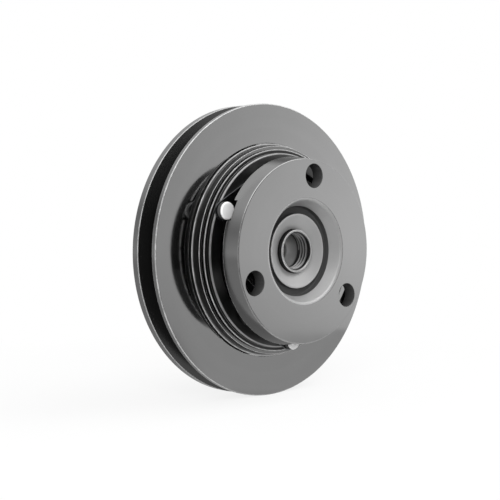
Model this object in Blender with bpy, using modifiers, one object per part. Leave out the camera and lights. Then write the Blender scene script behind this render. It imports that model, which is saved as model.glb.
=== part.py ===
"""Electromagnetic clutch: a belt pulley and rotor on a hub, a fixed field coil and a sprung armature.

The spin axis lies along Y and the hub faces -Y. Every piece is drawn in a local frame whose Z axis is
the spin axis, pointing to the front, with z = 0 at the pulley's front face, X to the right and Y up.
"""

import math

import bmesh
import bpy
from mathutils import Matrix

MM = 0.001

# Facets round a large, a middle and a small turned piece, and along a rounded edge
LARGE_STEPS = 36
MIDDLE_STEPS = 32
SMALL_STEPS = 12
FILLET_STEPS = 4
BALL_STEPS = 8

# Gaps: between seated pieces, and the working clearances
SEAT_GAP = 0.3 * MM
RACE_GAP = 0.3 * MM
CLIP_GAP = 0.15 * MM
FIELD_GAP = 0.5 * MM
AIR_GAP = 0.5 * MM
HEAD_GAP = 1.2 * MM

# Ball bearing between the hub sleeve and the rotor
BEARING_BORE_RADIUS = 17.5 * MM
BEARING_WIDTH = 14.0 * MM
BALL_RADIUS = 3.97 * MM
BALL_COUNT = 11
RACE_WALL = 2.48 * MM
RACE_DEPTH = 1.7 * MM
CAGE_THICKNESS = 1.7 * MM
CAGE_WIDTH = 10.5 * MM
SEAL_THICKNESS = 0.8 * MM
SEAL_INSET = 0.3 * MM

# Rotor: friction plate, inner pole on the bearing, outer pole inside the pulley
FRICTION_PLATE_THICKNESS = 6.1 * MM
FRICTION_STEP_HEIGHT = 3.9 * MM
FRICTION_STEP_WIDTH = 1.4 * MM
ROTOR_STEP_HEIGHT = 1.7 * MM
ROTOR_LIP_HEIGHT = 2.3 * MM
INNER_POLE_WALL = 4.7 * MM
OUTER_POLE_WALL = 4.8 * MM
POLE_END = 2.2 * MM
ROTOR_SLOT_COUNT = 4
ROTOR_SLOT_WIDTH = 3.0 * MM
ROTOR_SLOT_SPAN = math.radians(66)

# Pulley sheave with one belt groove
RIM_FRONT_LAND = 2.7 * MM
GROOVE_OPENING = 11.2 * MM
RIM_REAR_LAND = 4.4 * MM
GROOVE_DEPTH = 10.0 * MM
GROOVE_HALF_ANGLE = math.radians(18)
SHEAVE_WALL = 10.5 * MM
RIM_CHAMFER = 0.6 * MM

# Field coil, which stays still inside the rotor
FIELD_FACE_GAP = 0.8 * MM
HOUSING_INNER_WALL = 2.5 * MM
HOUSING_OUTER_WALL = 2.7 * MM
HOUSING_BACK = 3.5 * MM
HOUSING_LENGTH = 23.7 * MM
COIL_WINDOW = 8.2 * MM
BOBBIN_WALL = 0.9 * MM
COIL_COVER_THICKNESS = 2.4 * MM
MOUNT_PLATE_THICKNESS = 3.5 * MM
MOUNT_PLATE_BORE_RADIUS = 22.0 * MM
MOUNT_HOLE_RADIUS = 3.5 * MM
MOUNT_HOLE_INSET = 7.5 * MM
MOUNT_HOLE_COUNT = 4
LOCATING_HOLE_RADIUS = 2.5 * MM
LOCATING_HOLE_ANGLE = math.radians(270)
GROMMET_RADIUS = 3.2 * MM
GROMMET_BORE_RADIUS = 1.5 * MM
GROMMET_ANGLE = math.radians(90)
ROTOR_REAR_GAP = 1.3 * MM

# Armature plate, which the coil pulls against the rotor
ARMATURE_THICKNESS = 3.2 * MM
ARMATURE_INSET = 1.75 * MM
ARMATURE_STEP_HEIGHT = 1.05 * MM
ARMATURE_STEP_WIDTH = 1.95 * MM
ARMATURE_WIDTH = 21.0 * MM
ARMATURE_SLOT_WIDTH = 3.0 * MM
ARMATURE_SLOT_INSET = 10.0 * MM
ARMATURE_SLOT_SPAN = math.radians(44)
ARMATURE_SLOT_LEAD = math.radians(37)

# Leaf springs, their rivets on the armature and their screws in the drive plate
SPRING_COUNT = 3
SPRING_THICKNESS = 0.8 * MM
SPRING_END_RADIUS = 5.0 * MM
RIVET_ANGLE = math.radians(34.2)
RIVET_EDGE = 5.1 * MM
RIVET_SHANK_RADIUS = 2.5 * MM
RIVET_HEAD_RADIUS = 4.4 * MM
RIVET_HEAD_HEIGHT = 3.4 * MM
RIVET_HEAD_CHAMFER = 0.8 * MM
RIVET_FLARE = 1.2 * MM
SCREW_LAG = math.radians(45)
SCREW_EDGE = 8.6 * MM
SCREW_RADIUS = 2.5 * MM
SCREW_HEAD_RADIUS = 4.2 * MM
SCREW_HEAD_HEIGHT = 1.5 * MM
SCREW_DEPTH = 8.0 * MM

# Drive plate in front, dished round the middle of the hub
PLATE_INSET = 3.95 * MM
PLATE_DRAFT = 1.4 * MM
PLATE_HEIGHT = 9.8 * MM
PLATE_WEB = 6.8 * MM
PLATE_RIM_WALL = 3.2 * MM
PLATE_EDGE_FILLET = 1.0 * MM
PAD_RADIUS = 6.8 * MM
PAD_HEIGHT = 5.3 * MM
RELIEF_GAP = 1.0 * MM
RELIEF_DEPTH = 2.6 * MM
PLATE_HOLE_RADIUS = 6.1 * MM
PLATE_HOLE_EDGE = 8.2 * MM
PLATE_HOLE_ANGLE = math.radians(82)
BOSS_RADIUS = 19.0 * MM
BOSS_LAND = 0.8 * MM
BOSS_DROP = 6.2 * MM
BOSS_SLOPE_DEPTH = 3.3 * MM
BOSS_REAR_STEP = 1.3 * MM
TROUGH_WIDTH = 4.0 * MM
TROUGH_DEPTH = 3.1 * MM
DISH_DRAFT = 3.0 * MM
DISH_WALL = 3.2 * MM

# Hub sleeve: removal thread in front, bolt hole, tapered shaft bore behind
THREAD_RADIUS = 9.5 * MM
THREAD_WALL = 1.4 * MM
THREAD_DEPTH = 10.0 * MM
SLEEVE_RECESS = 0.6 * MM
BOLT_HOLE_RADIUS = 5.5 * MM
BOLT_SEAT_DEPTH = 2.8 * MM
BOLT_WEB = 5.0 * MM
SHAFT_SMALL_RADIUS = 8.2 * MM
SHAFT_TAPER = 1 / 16
SHOULDER_HEIGHT = 3.0 * MM
SLEEVE_END = 2.5 * MM
KEYWAY_WIDTH = 4.0 * MM
KEYWAY_DEPTH = 2.0 * MM

# Snap rings that hold the bearing on the sleeve and in the rotor
CLIP_THICKNESS = 1.5 * MM
CLIP_GROOVE_DEPTH = 1.7 * MM
CLIP_BAND = 3.0 * MM
CLIP_LUG = 2.4 * MM
CLIP_OPENING = math.radians(40)
CLIP_LUG_SPAN = math.radians(10)
CLIP_STEPS = 18

# Radii worked out from the bearing outwards
RACE_RADIUS = BALL_RADIUS + RACE_GAP
PITCH_RADIUS = BEARING_BORE_RADIUS + RACE_WALL + RACE_RADIUS
INNER_RING_RADIUS = BEARING_BORE_RADIUS + RACE_WALL + RACE_DEPTH
OUTER_RING_BORE = PITCH_RADIUS + RACE_RADIUS - RACE_DEPTH
BEARING_RADIUS = PITCH_RADIUS + RACE_RADIUS + RACE_WALL
ROTOR_BORE_RADIUS = BEARING_RADIUS + SEAT_GAP
INNER_POLE_RADIUS = ROTOR_BORE_RADIUS + INNER_POLE_WALL
HOUSING_BORE_RADIUS = INNER_POLE_RADIUS + FIELD_GAP
WINDOW_INNER_RADIUS = HOUSING_BORE_RADIUS + HOUSING_INNER_WALL
WINDOW_OUTER_RADIUS = WINDOW_INNER_RADIUS + COIL_WINDOW
COIL_MIDDLE_RADIUS = (WINDOW_INNER_RADIUS + WINDOW_OUTER_RADIUS) / 2
HOUSING_RADIUS = WINDOW_OUTER_RADIUS + HOUSING_OUTER_WALL
OUTER_POLE_BORE = HOUSING_RADIUS + FIELD_GAP
ROTOR_RADIUS = OUTER_POLE_BORE + OUTER_POLE_WALL
FRICTION_RADIUS = ROTOR_RADIUS - FRICTION_STEP_WIDTH
SHEAVE_BORE_RADIUS = ROTOR_RADIUS + SEAT_GAP
GROOVE_FLOOR_RADIUS = SHEAVE_BORE_RADIUS + SHEAVE_WALL
PULLEY_RADIUS = GROOVE_FLOOR_RADIUS + GROOVE_DEPTH
ARMATURE_RADIUS = FRICTION_RADIUS - ARMATURE_INSET
ARMATURE_FACE_RADIUS = ARMATURE_RADIUS - ARMATURE_STEP_WIDTH
ARMATURE_BORE_RADIUS = ARMATURE_RADIUS - ARMATURE_WIDTH
RIVET_PITCH_RADIUS = ARMATURE_RADIUS - RIVET_EDGE
PLATE_REAR_RADIUS = ARMATURE_RADIUS - PLATE_INSET
PLATE_FRONT_RADIUS = PLATE_REAR_RADIUS - PLATE_DRAFT
PLATE_RIM_BORE = PLATE_REAR_RADIUS - PLATE_RIM_WALL
PLATE_HOLE_PITCH = PLATE_FRONT_RADIUS - PLATE_HOLE_EDGE
SCREW_PITCH_RADIUS = PLATE_REAR_RADIUS - SCREW_EDGE
SPIGOT_RADIUS = THREAD_RADIUS + THREAD_WALL
PLATE_BORE_RADIUS = SPIGOT_RADIUS + SEAT_GAP
DISH_RADIUS = BOSS_RADIUS + TROUGH_WIDTH
DISH_RIM_RADIUS = DISH_RADIUS + DISH_DRAFT
HUB_CORE_RADIUS = DISH_RADIUS + DISH_WALL
SLEEVE_SEAT_RADIUS = BEARING_BORE_RADIUS - SEAT_GAP
SHOULDER_RADIUS = BEARING_BORE_RADIUS + SHOULDER_HEIGHT

# Heights along the spin axis, worked out from the pulley's front face, which is z = 0
RIM_REAR_Z = -(RIM_FRONT_LAND + GROOVE_OPENING + RIM_REAR_LAND)
FRICTION_Z = ROTOR_STEP_HEIGHT + FRICTION_STEP_HEIGHT
FRICTION_REAR_Z = FRICTION_Z - FRICTION_PLATE_THICKNESS
ARMATURE_REAR_Z = FRICTION_Z + AIR_GAP
ARMATURE_FRONT_Z = ARMATURE_REAR_Z + ARMATURE_THICKNESS
SPRING_REAR_Z = ARMATURE_FRONT_Z + SEAT_GAP
SPRING_FRONT_Z = SPRING_REAR_Z + SPRING_THICKNESS
PAD_Z = SPRING_FRONT_Z + SEAT_GAP
PLATE_RIM_Z = PAD_Z + PAD_HEIGHT
PLATE_FRONT_Z = PLATE_RIM_Z + PLATE_HEIGHT
PLATE_WEB_Z = PLATE_FRONT_Z - PLATE_WEB
BOSS_Z = PLATE_FRONT_Z - BOSS_DROP
TROUGH_Z = BOSS_Z - TROUGH_DEPTH
BOSS_REAR_Z = PAD_Z + BOSS_REAR_STEP
SLEEVE_FRONT_Z = BOSS_Z - SLEEVE_RECESS
SLEEVE_SHOULDER_Z = BOSS_REAR_Z - SEAT_GAP
THREAD_END_Z = SLEEVE_FRONT_Z - THREAD_DEPTH
SHAFT_BORE_Z = THREAD_END_Z - BOLT_WEB
BEARING_FRONT_Z = FRICTION_REAR_Z - SEAT_GAP
BEARING_REAR_Z = BEARING_FRONT_Z - BEARING_WIDTH
BALL_Z = (BEARING_FRONT_Z + BEARING_REAR_Z) / 2
CLIP_FRONT_Z = BEARING_REAR_Z - SEAT_GAP
CLIP_REAR_Z = CLIP_FRONT_Z - CLIP_THICKNESS
POLE_REAR_Z = CLIP_REAR_Z - CLIP_GAP - POLE_END
SLEEVE_REAR_Z = CLIP_REAR_Z - CLIP_GAP - SLEEVE_END
HOUSING_FRONT_Z = FRICTION_REAR_Z - FIELD_FACE_GAP
HOUSING_REAR_Z = HOUSING_FRONT_Z - HOUSING_LENGTH
WINDOW_FLOOR_Z = HOUSING_REAR_Z + HOUSING_BACK
COVER_REAR_Z = HOUSING_FRONT_Z - COIL_COVER_THICKNESS
BOBBIN_FRONT_Z = COVER_REAR_Z - SEAT_GAP
BOBBIN_REAR_Z = WINDOW_FLOOR_Z + SEAT_GAP
MOUNT_PLATE_FRONT_Z = HOUSING_REAR_Z - SEAT_GAP
MOUNT_PLATE_REAR_Z = MOUNT_PLATE_FRONT_Z - MOUNT_PLATE_THICKNESS
OUTER_POLE_REAR_Z = MOUNT_PLATE_FRONT_Z + ROTOR_REAR_GAP

# The model's origin is on the spin axis, midway between the drive plate's front and the mounting face
ORIGIN_Z = (PLATE_FRONT_Z + MOUNT_PLATE_REAR_Z) / 2

MERGE_DISTANCE = 0.001 * MM
SHARP_ANGLE = math.radians(35)
CUT_MARGIN = 2.0 * MM


def new_collection(name):
    collection = bpy.data.collections.new(name)
    bpy.context.scene.collection.children.link(collection)
    return collection


def clear_scene():
    for old_object in list(bpy.data.objects):
        bpy.data.objects.remove(old_object, do_unlink=True)


clear_scene()
PARTS = new_collection("electromagnetic_clutch")
CUTTERS = new_collection("cutters")


def principled(name, colour, roughness, metallic):
    material = bpy.data.materials.new(name)
    material.use_nodes = True
    shader = material.node_tree.nodes["Principled BSDF"]
    shader.inputs["Base Color"].default_value = (*colour, 1)
    shader.inputs["Roughness"].default_value = roughness
    shader.inputs["Metallic"].default_value = metallic
    return material


GREY_ENAMEL = ("grey_enamel", (0.20, 0.20, 0.21), 0.38, 0.6)
DARK_STEEL = ("dark_steel", (0.12, 0.12, 0.13), 0.42, 0.9)
BRIGHT_STEEL = ("bright_steel", (0.62, 0.62, 0.64), 0.25, 1.0)
SPRING_STEEL = ("spring_steel", (0.22, 0.22, 0.24), 0.35, 1.0)
ZINC = ("zinc", (0.80, 0.80, 0.81), 0.30, 1.0)
COPPER = ("enamelled_copper", (0.55, 0.20, 0.08), 0.35, 0.8)
BLACK_PLASTIC = ("black_plastic", (0.02, 0.02, 0.02), 0.50, 0.0)
RESIN = ("resin", (0.05, 0.05, 0.05), 0.45, 0.0)
RUBBER = ("rubber", (0.02, 0.02, 0.02), 0.80, 0.0)


def body_axis(name):
    """Add an empty on the spin axis whose local Z points to the front."""
    axis = bpy.data.objects.new(name, None)
    axis.rotation_euler = (math.pi / 2, 0, 0)
    axis.location = (0, ORIGIN_Z, 0)
    PARTS.objects.link(axis)
    return axis


FIELD = body_axis("field_axis")
HUB = body_axis("hub_axis")
PULLEY = body_axis("pulley_axis")
ARMATURE = body_axis("armature_axis")
CAGE = body_axis("cage_axis")


def add_piece(name, mesh, finish, axis):
    """Place a mesh under its body's axis with its own material."""
    piece = bpy.data.objects.new(name, mesh)
    piece.parent = axis
    mesh.materials.clear()
    mesh.materials.append(principled(f"{name}_{finish[0]}", *finish[1:]))
    PARTS.objects.link(piece)
    return piece


def add_cutter(name, mesh, axis):
    """Place a mesh that only cuts, seen as wire and left out of renders."""
    cutter = bpy.data.objects.new(name, mesh)
    cutter.parent = axis
    cutter.hide_render = True
    cutter.display_type = "WIRE"
    CUTTERS.objects.link(cutter)
    return cutter


def evaluated_mesh(drawn):
    depsgraph = bpy.context.evaluated_depsgraph_get()
    return bpy.data.meshes.new_from_object(drawn.evaluated_get(depsgraph))


def weld(mesh):
    edited = bmesh.new()
    edited.from_mesh(mesh)
    bmesh.ops.remove_doubles(edited, verts=edited.verts, dist=MERGE_DISTANCE)
    edited.to_mesh(mesh)
    edited.free()


def turned_mesh(name, profile, steps, closed):
    """Turn a (radius, z) profile, listed down its outer side, round the spin axis."""
    mesh = bpy.data.meshes.new(name)
    corners = [(radius, 0, z) for radius, z in profile]
    edges = [(i, i + 1) for i in range(len(corners) - 1)]
    if closed:
        edges.append((len(corners) - 1, 0))
    mesh.from_pydata(corners, edges, [])
    drawn = bpy.data.objects.new(name, mesh)
    CUTTERS.objects.link(drawn)
    screw = drawn.modifiers.new("turn", "SCREW")
    screw.axis = "Z"
    screw.angle = 2 * math.pi
    screw.steps = steps
    screw.render_steps = steps
    screw.use_merge_vertices = True
    screw.merge_threshold = MERGE_DISTANCE
    turned = evaluated_mesh(drawn)
    bpy.data.objects.remove(drawn)
    return turned


def flat_mesh(name, outlines, z_low, z_high):
    """Extrude flat outlines, holes included, between two heights."""
    curve = bpy.data.curves.new(name, "CURVE")
    curve.dimensions = "2D"
    curve.fill_mode = "BOTH"
    curve.extrude = (z_high - z_low) / 2
    for outline in outlines:
        spline = curve.splines.new("POLY")
        spline.points.add(len(outline) - 1)
        for point, (x, y) in zip(spline.points, outline):
            point.co = (x, y, 0, 1)
        spline.use_cyclic_u = True
    drawn = bpy.data.objects.new(name, curve)
    CUTTERS.objects.link(drawn)
    mesh = evaluated_mesh(drawn)
    bpy.data.objects.remove(drawn)
    weld(mesh)
    mesh.transform(Matrix.Translation((0, 0, (z_low + z_high) / 2)))
    return mesh


def cone_mesh(name, centres, low, high):
    """Make one round bar or cone at each centre, between two (radius, z) ends."""
    (low_radius, low_z), (high_radius, high_z) = low, high
    built = bmesh.new()
    for x, y in centres:
        bmesh.ops.create_cone(
            built,
            cap_ends=True,
            segments=SMALL_STEPS,
            radius1=low_radius,
            radius2=high_radius,
            depth=high_z - low_z,
            matrix=Matrix.Translation((x, y, (low_z + high_z) / 2)),
        )
    mesh = bpy.data.meshes.new(name)
    built.to_mesh(mesh)
    built.free()
    return mesh


def turn(name, profile, finish, axis, steps=LARGE_STEPS, closed=True):
    return add_piece(name, turned_mesh(name, profile, steps, closed), finish, axis)


def apply_boolean(piece, tool, operation):
    boolean = piece.modifiers.new(tool.name, "BOOLEAN")
    boolean.operation = operation
    boolean.solver = "EXACT"
    boolean.object = tool


def polar(radius, angle):
    return radius * math.cos(angle), radius * math.sin(angle)


def arc(radius, start, end, steps, centre=(0, 0)):
    """Points along an arc, both ends included."""
    points = []
    for i in range(steps + 1):
        x, y = polar(radius, start + (end - start) * i / steps)
        points.append((centre[0] + x, centre[1] + y))
    return points


def circle(radius, steps, centre=(0, 0)):
    return arc(radius, 0, 2 * math.pi, steps, centre)[:-1]


def pattern(count, radius, first_angle):
    """Centres spaced evenly round the axis."""
    return [polar(radius, first_angle + 2 * math.pi * i / count) for i in range(count)]


def arc_slot(radius, width, middle, span):
    """Outline of a slot bent round the axis, with square ends."""
    start = middle - span / 2
    end = middle + span / 2
    steps = max(2, round(LARGE_STEPS * span / (2 * math.pi)))
    return arc(radius + width / 2, start, end, steps) + arc(radius - width / 2, end, start, steps)


def arc_slots(count, radius, width, first_middle, span):
    return [arc_slot(radius, width, first_middle + 2 * math.pi * i / count, span) for i in range(count)]


def strap(start, end, radius):
    """Outline of a flat strap with round ends about two centres."""
    heading = math.atan2(end[1] - start[1], end[0] - start[0])
    quarter = math.pi / 2
    half_steps = SMALL_STEPS // 2
    far_end = arc(radius, heading - quarter, heading + quarter, half_steps, end)
    near_end = arc(radius, heading + quarter, heading + 3 * quarter, half_steps, start)
    return far_end + near_end


def make_sheave():
    slope = GROOVE_DEPTH * math.tan(GROOVE_HALF_ANGLE)
    lip_slope = RIM_CHAMFER * math.tan(GROOVE_HALF_ANGLE)
    groove_front = -RIM_FRONT_LAND
    groove_rear = groove_front - GROOVE_OPENING
    lip_radius = PULLEY_RADIUS - RIM_CHAMFER
    profile = [
        (lip_radius, 0),
        (PULLEY_RADIUS, -RIM_CHAMFER),
        (PULLEY_RADIUS, groove_front),
        (GROOVE_FLOOR_RADIUS, groove_front - slope),
        (GROOVE_FLOOR_RADIUS, groove_rear + slope),
        (lip_radius, groove_rear + lip_slope),
        (PULLEY_RADIUS, groove_rear - RIM_CHAMFER),
        (PULLEY_RADIUS, RIM_REAR_Z + RIM_CHAMFER),
        (lip_radius, RIM_REAR_Z),
        (SHEAVE_BORE_RADIUS, RIM_REAR_Z),
        (SHEAVE_BORE_RADIUS, 0),
    ]
    turn("pulley_sheave", profile, GREY_ENAMEL, PULLEY)


def make_rotor():
    groove_radius = ROTOR_BORE_RADIUS + CLIP_GROOVE_DEPTH
    lip_radius = ROTOR_BORE_RADIUS - ROTOR_LIP_HEIGHT
    profile = [
        (FRICTION_RADIUS, FRICTION_Z),
        (FRICTION_RADIUS, ROTOR_STEP_HEIGHT),
        (ROTOR_RADIUS, ROTOR_STEP_HEIGHT),
        (ROTOR_RADIUS, OUTER_POLE_REAR_Z),
        (OUTER_POLE_BORE, OUTER_POLE_REAR_Z),
        (OUTER_POLE_BORE, FRICTION_REAR_Z),
        (INNER_POLE_RADIUS, FRICTION_REAR_Z),
        (INNER_POLE_RADIUS, POLE_REAR_Z),
        (ROTOR_BORE_RADIUS, POLE_REAR_Z),
        (ROTOR_BORE_RADIUS, CLIP_REAR_Z - CLIP_GAP),
        (groove_radius, CLIP_REAR_Z - CLIP_GAP),
        (groove_radius, CLIP_FRONT_Z + CLIP_GAP),
        (ROTOR_BORE_RADIUS, CLIP_FRONT_Z + CLIP_GAP),
        (ROTOR_BORE_RADIUS, FRICTION_REAR_Z),
        (lip_radius, FRICTION_REAR_Z),
        (lip_radius, FRICTION_Z),
    ]
    rotor = turn("rotor", profile, DARK_STEEL, PULLEY)
    slots = arc_slots(ROTOR_SLOT_COUNT, COIL_MIDDLE_RADIUS, ROTOR_SLOT_WIDTH, 0, ROTOR_SLOT_SPAN)
    slot_mesh = flat_mesh("rotor_slots", slots, FRICTION_REAR_Z - CUT_MARGIN, FRICTION_Z + CUT_MARGIN)
    apply_boolean(rotor, add_cutter("rotor_slots", slot_mesh, PULLEY), "DIFFERENCE")


def make_field():
    housing_profile = [
        (HOUSING_RADIUS, HOUSING_FRONT_Z),
        (HOUSING_RADIUS, HOUSING_REAR_Z),
        (HOUSING_BORE_RADIUS, HOUSING_REAR_Z),
        (HOUSING_BORE_RADIUS, HOUSING_FRONT_Z),
        (WINDOW_INNER_RADIUS, HOUSING_FRONT_Z),
        (WINDOW_INNER_RADIUS, WINDOW_FLOOR_Z),
        (WINDOW_OUTER_RADIUS, WINDOW_FLOOR_Z),
        (WINDOW_OUTER_RADIUS, HOUSING_FRONT_Z),
    ]
    housing = turn("coil_housing", housing_profile, DARK_STEEL, FIELD)
    grommet_centre = polar(COIL_MIDDLE_RADIUS, GROMMET_ANGLE)
    grommet_hole = GROMMET_RADIUS + SEAT_GAP
    hole_mesh = cone_mesh(
        "lead_hole",
        [grommet_centre],
        (grommet_hole, HOUSING_REAR_Z - CUT_MARGIN),
        (grommet_hole, WINDOW_FLOOR_Z + HOUSING_BACK / 2),
    )
    apply_boolean(housing, add_cutter("lead_hole", hole_mesh, FIELD), "DIFFERENCE")

    core_radius = WINDOW_INNER_RADIUS + SEAT_GAP
    flange_radius = WINDOW_OUTER_RADIUS - SEAT_GAP
    spool_radius = core_radius + BOBBIN_WALL
    bobbin_profile = [
        (flange_radius, BOBBIN_FRONT_Z),
        (flange_radius, BOBBIN_FRONT_Z - BOBBIN_WALL),
        (spool_radius, BOBBIN_FRONT_Z - BOBBIN_WALL),
        (spool_radius, BOBBIN_REAR_Z + BOBBIN_WALL),
        (flange_radius, BOBBIN_REAR_Z + BOBBIN_WALL),
        (flange_radius, BOBBIN_REAR_Z),
        (core_radius, BOBBIN_REAR_Z),
        (core_radius, BOBBIN_FRONT_Z),
    ]
    turn("coil_bobbin", bobbin_profile, BLACK_PLASTIC, FIELD, MIDDLE_STEPS)
    make_ring(
        "coil_winding",
        (spool_radius + SEAT_GAP, flange_radius),
        (BOBBIN_REAR_Z + BOBBIN_WALL + SEAT_GAP, BOBBIN_FRONT_Z - BOBBIN_WALL - SEAT_GAP),
        COPPER,
        FIELD,
        MIDDLE_STEPS,
    )
    cover_heights = (COVER_REAR_Z, HOUSING_FRONT_Z)
    make_ring("coil_cover", (core_radius, flange_radius), cover_heights, RESIN, FIELD, MIDDLE_STEPS)

    bolt_pitch = MOUNT_PLATE_BORE_RADIUS + MOUNT_HOLE_INSET
    first_bolt = math.pi / MOUNT_HOLE_COUNT
    bolts = pattern(MOUNT_HOLE_COUNT, bolt_pitch, first_bolt)
    locating_centre = polar(COIL_MIDDLE_RADIUS, LOCATING_HOLE_ANGLE)
    outlines = [
        circle(HOUSING_RADIUS, LARGE_STEPS),
        circle(MOUNT_PLATE_BORE_RADIUS, LARGE_STEPS),
        circle(LOCATING_HOLE_RADIUS, SMALL_STEPS, locating_centre),
        circle(grommet_hole, SMALL_STEPS, grommet_centre),
    ]
    outlines += [circle(MOUNT_HOLE_RADIUS, SMALL_STEPS, centre) for centre in bolts]
    plate_mesh = flat_mesh("mounting_plate", outlines, MOUNT_PLATE_REAR_Z, MOUNT_PLATE_FRONT_Z)
    add_piece("mounting_plate", plate_mesh, DARK_STEEL, FIELD)

    grommet_outlines = [
        circle(GROMMET_RADIUS, SMALL_STEPS, grommet_centre),
        circle(GROMMET_BORE_RADIUS, SMALL_STEPS, grommet_centre),
    ]
    grommet_mesh = flat_mesh("lead_grommet", grommet_outlines, MOUNT_PLATE_REAR_Z + SEAT_GAP, WINDOW_FLOOR_Z)
    add_piece("lead_grommet", grommet_mesh, RUBBER, FIELD)


def make_ring(name, radii, heights, finish, axis, steps=LARGE_STEPS):
    """A plain ring of rectangular section."""
    inner, outer = radii
    low, high = heights
    return turn(name, [(outer, high), (outer, low), (inner, low), (inner, high)], finish, axis, steps)


def make_bearing():
    half_angle = math.acos((RACE_RADIUS - RACE_DEPTH) / RACE_RADIUS)
    middle = (PITCH_RADIUS, BALL_Z)
    inner_race = arc(RACE_RADIUS, math.pi - half_angle, math.pi + half_angle, FILLET_STEPS, middle)
    outer_race = arc(RACE_RADIUS, -half_angle, half_angle, FILLET_STEPS, middle)
    inner_profile = [
        (INNER_RING_RADIUS, BEARING_FRONT_Z),
        *inner_race,
        (INNER_RING_RADIUS, BEARING_REAR_Z),
        (BEARING_BORE_RADIUS, BEARING_REAR_Z),
        (BEARING_BORE_RADIUS, BEARING_FRONT_Z),
    ]
    outer_profile = [
        (BEARING_RADIUS, BEARING_FRONT_Z),
        (BEARING_RADIUS, BEARING_REAR_Z),
        (OUTER_RING_BORE, BEARING_REAR_Z),
        *outer_race,
        (OUTER_RING_BORE, BEARING_FRONT_Z),
    ]
    turn("bearing_inner_ring", inner_profile, BRIGHT_STEEL, HUB, MIDDLE_STEPS)
    turn("bearing_outer_ring", outer_profile, BRIGHT_STEEL, PULLEY, MIDDLE_STEPS)

    seal_radii = (INNER_RING_RADIUS + SEAT_GAP, OUTER_RING_BORE - SEAT_GAP)
    front_seal = BEARING_FRONT_Z - SEAL_INSET
    rear_seal = BEARING_REAR_Z + SEAL_INSET
    front_heights = (front_seal - SEAL_THICKNESS, front_seal)
    rear_heights = (rear_seal, rear_seal + SEAL_THICKNESS)
    make_ring("bearing_seal_front", seal_radii, front_heights, RUBBER, PULLEY, MIDDLE_STEPS)
    make_ring("bearing_seal_rear", seal_radii, rear_heights, RUBBER, PULLEY, MIDDLE_STEPS)

    cage_radii = (PITCH_RADIUS - CAGE_THICKNESS / 2, PITCH_RADIUS + CAGE_THICKNESS / 2)
    cage_heights = (BALL_Z - CAGE_WIDTH / 2, BALL_Z + CAGE_WIDTH / 2)
    cage = make_ring("bearing_cage", cage_radii, cage_heights, BLACK_PLASTIC, CAGE, MIDDLE_STEPS)
    pockets = bmesh.new()
    for i in range(BALL_COUNT):
        angle = 2 * math.pi * i / BALL_COUNT
        x, y = polar(PITCH_RADIUS, angle)
        facing = Matrix.Translation((x, y, BALL_Z)) @ Matrix.Rotation(angle, 4, "Z")
        outward = facing @ Matrix.Rotation(math.pi / 2, 4, "Y")
        bmesh.ops.create_cone(
            pockets,
            cap_ends=True,
            segments=SMALL_STEPS,
            radius1=BALL_RADIUS + SEAT_GAP,
            radius2=BALL_RADIUS + SEAT_GAP,
            depth=2 * CAGE_THICKNESS,
            matrix=outward,
        )
        ball_mesh = bpy.data.meshes.new(f"bearing_ball_{i + 1}")
        ball_build = bmesh.new()
        bmesh.ops.create_uvsphere(
            ball_build,
            u_segments=BALL_STEPS,
            v_segments=BALL_STEPS // 2 + 1,
            radius=BALL_RADIUS,
        )
        ball_build.to_mesh(ball_mesh)
        ball_build.free()
        ball = add_piece(ball_mesh.name, ball_mesh, BRIGHT_STEEL, CAGE)
        ball.location = (x, y, BALL_Z)
    pocket_mesh = bpy.data.meshes.new("cage_pockets")
    pockets.to_mesh(pocket_mesh)
    pockets.free()
    apply_boolean(cage, add_cutter("cage_pockets", pocket_mesh, CAGE), "DIFFERENCE")


def make_sleeve():
    groove_radius = SLEEVE_SEAT_RADIUS - CLIP_GROOVE_DEPTH
    shaft_rear_radius = SHAFT_SMALL_RADIUS + SHAFT_TAPER * (SHAFT_BORE_Z - SLEEVE_REAR_Z)
    profile = [
        (SPIGOT_RADIUS, SLEEVE_FRONT_Z),
        (SPIGOT_RADIUS, SLEEVE_SHOULDER_Z),
        (SHOULDER_RADIUS, SLEEVE_SHOULDER_Z),
        (SHOULDER_RADIUS, FRICTION_REAR_Z),
        (SLEEVE_SEAT_RADIUS, FRICTION_REAR_Z),
        (SLEEVE_SEAT_RADIUS, CLIP_FRONT_Z + CLIP_GAP),
        (groove_radius, CLIP_FRONT_Z + CLIP_GAP),
        (groove_radius, CLIP_REAR_Z - CLIP_GAP),
        (SLEEVE_SEAT_RADIUS, CLIP_REAR_Z - CLIP_GAP),
        (SLEEVE_SEAT_RADIUS, SLEEVE_REAR_Z),
        (shaft_rear_radius, SLEEVE_REAR_Z),
        (SHAFT_SMALL_RADIUS, SHAFT_BORE_Z),
        (BOLT_HOLE_RADIUS, SHAFT_BORE_Z),
        (BOLT_HOLE_RADIUS, THREAD_END_Z - BOLT_SEAT_DEPTH),
        (THREAD_RADIUS, THREAD_END_Z),
        (THREAD_RADIUS, SLEEVE_FRONT_Z),
    ]
    sleeve = turn("hub_sleeve", profile, BRIGHT_STEEL, HUB, MIDDLE_STEPS)
    top = shaft_rear_radius + KEYWAY_DEPTH
    half = KEYWAY_WIDTH / 2
    keyway = [(-half, 0), (half, 0), (half, top), (-half, top)]
    keyway_mesh = flat_mesh("keyway", [keyway], SLEEVE_REAR_Z - CUT_MARGIN, SHAFT_BORE_Z - KEYWAY_DEPTH)
    apply_boolean(sleeve, add_cutter("keyway", keyway_mesh, HUB), "DIFFERENCE")


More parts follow.
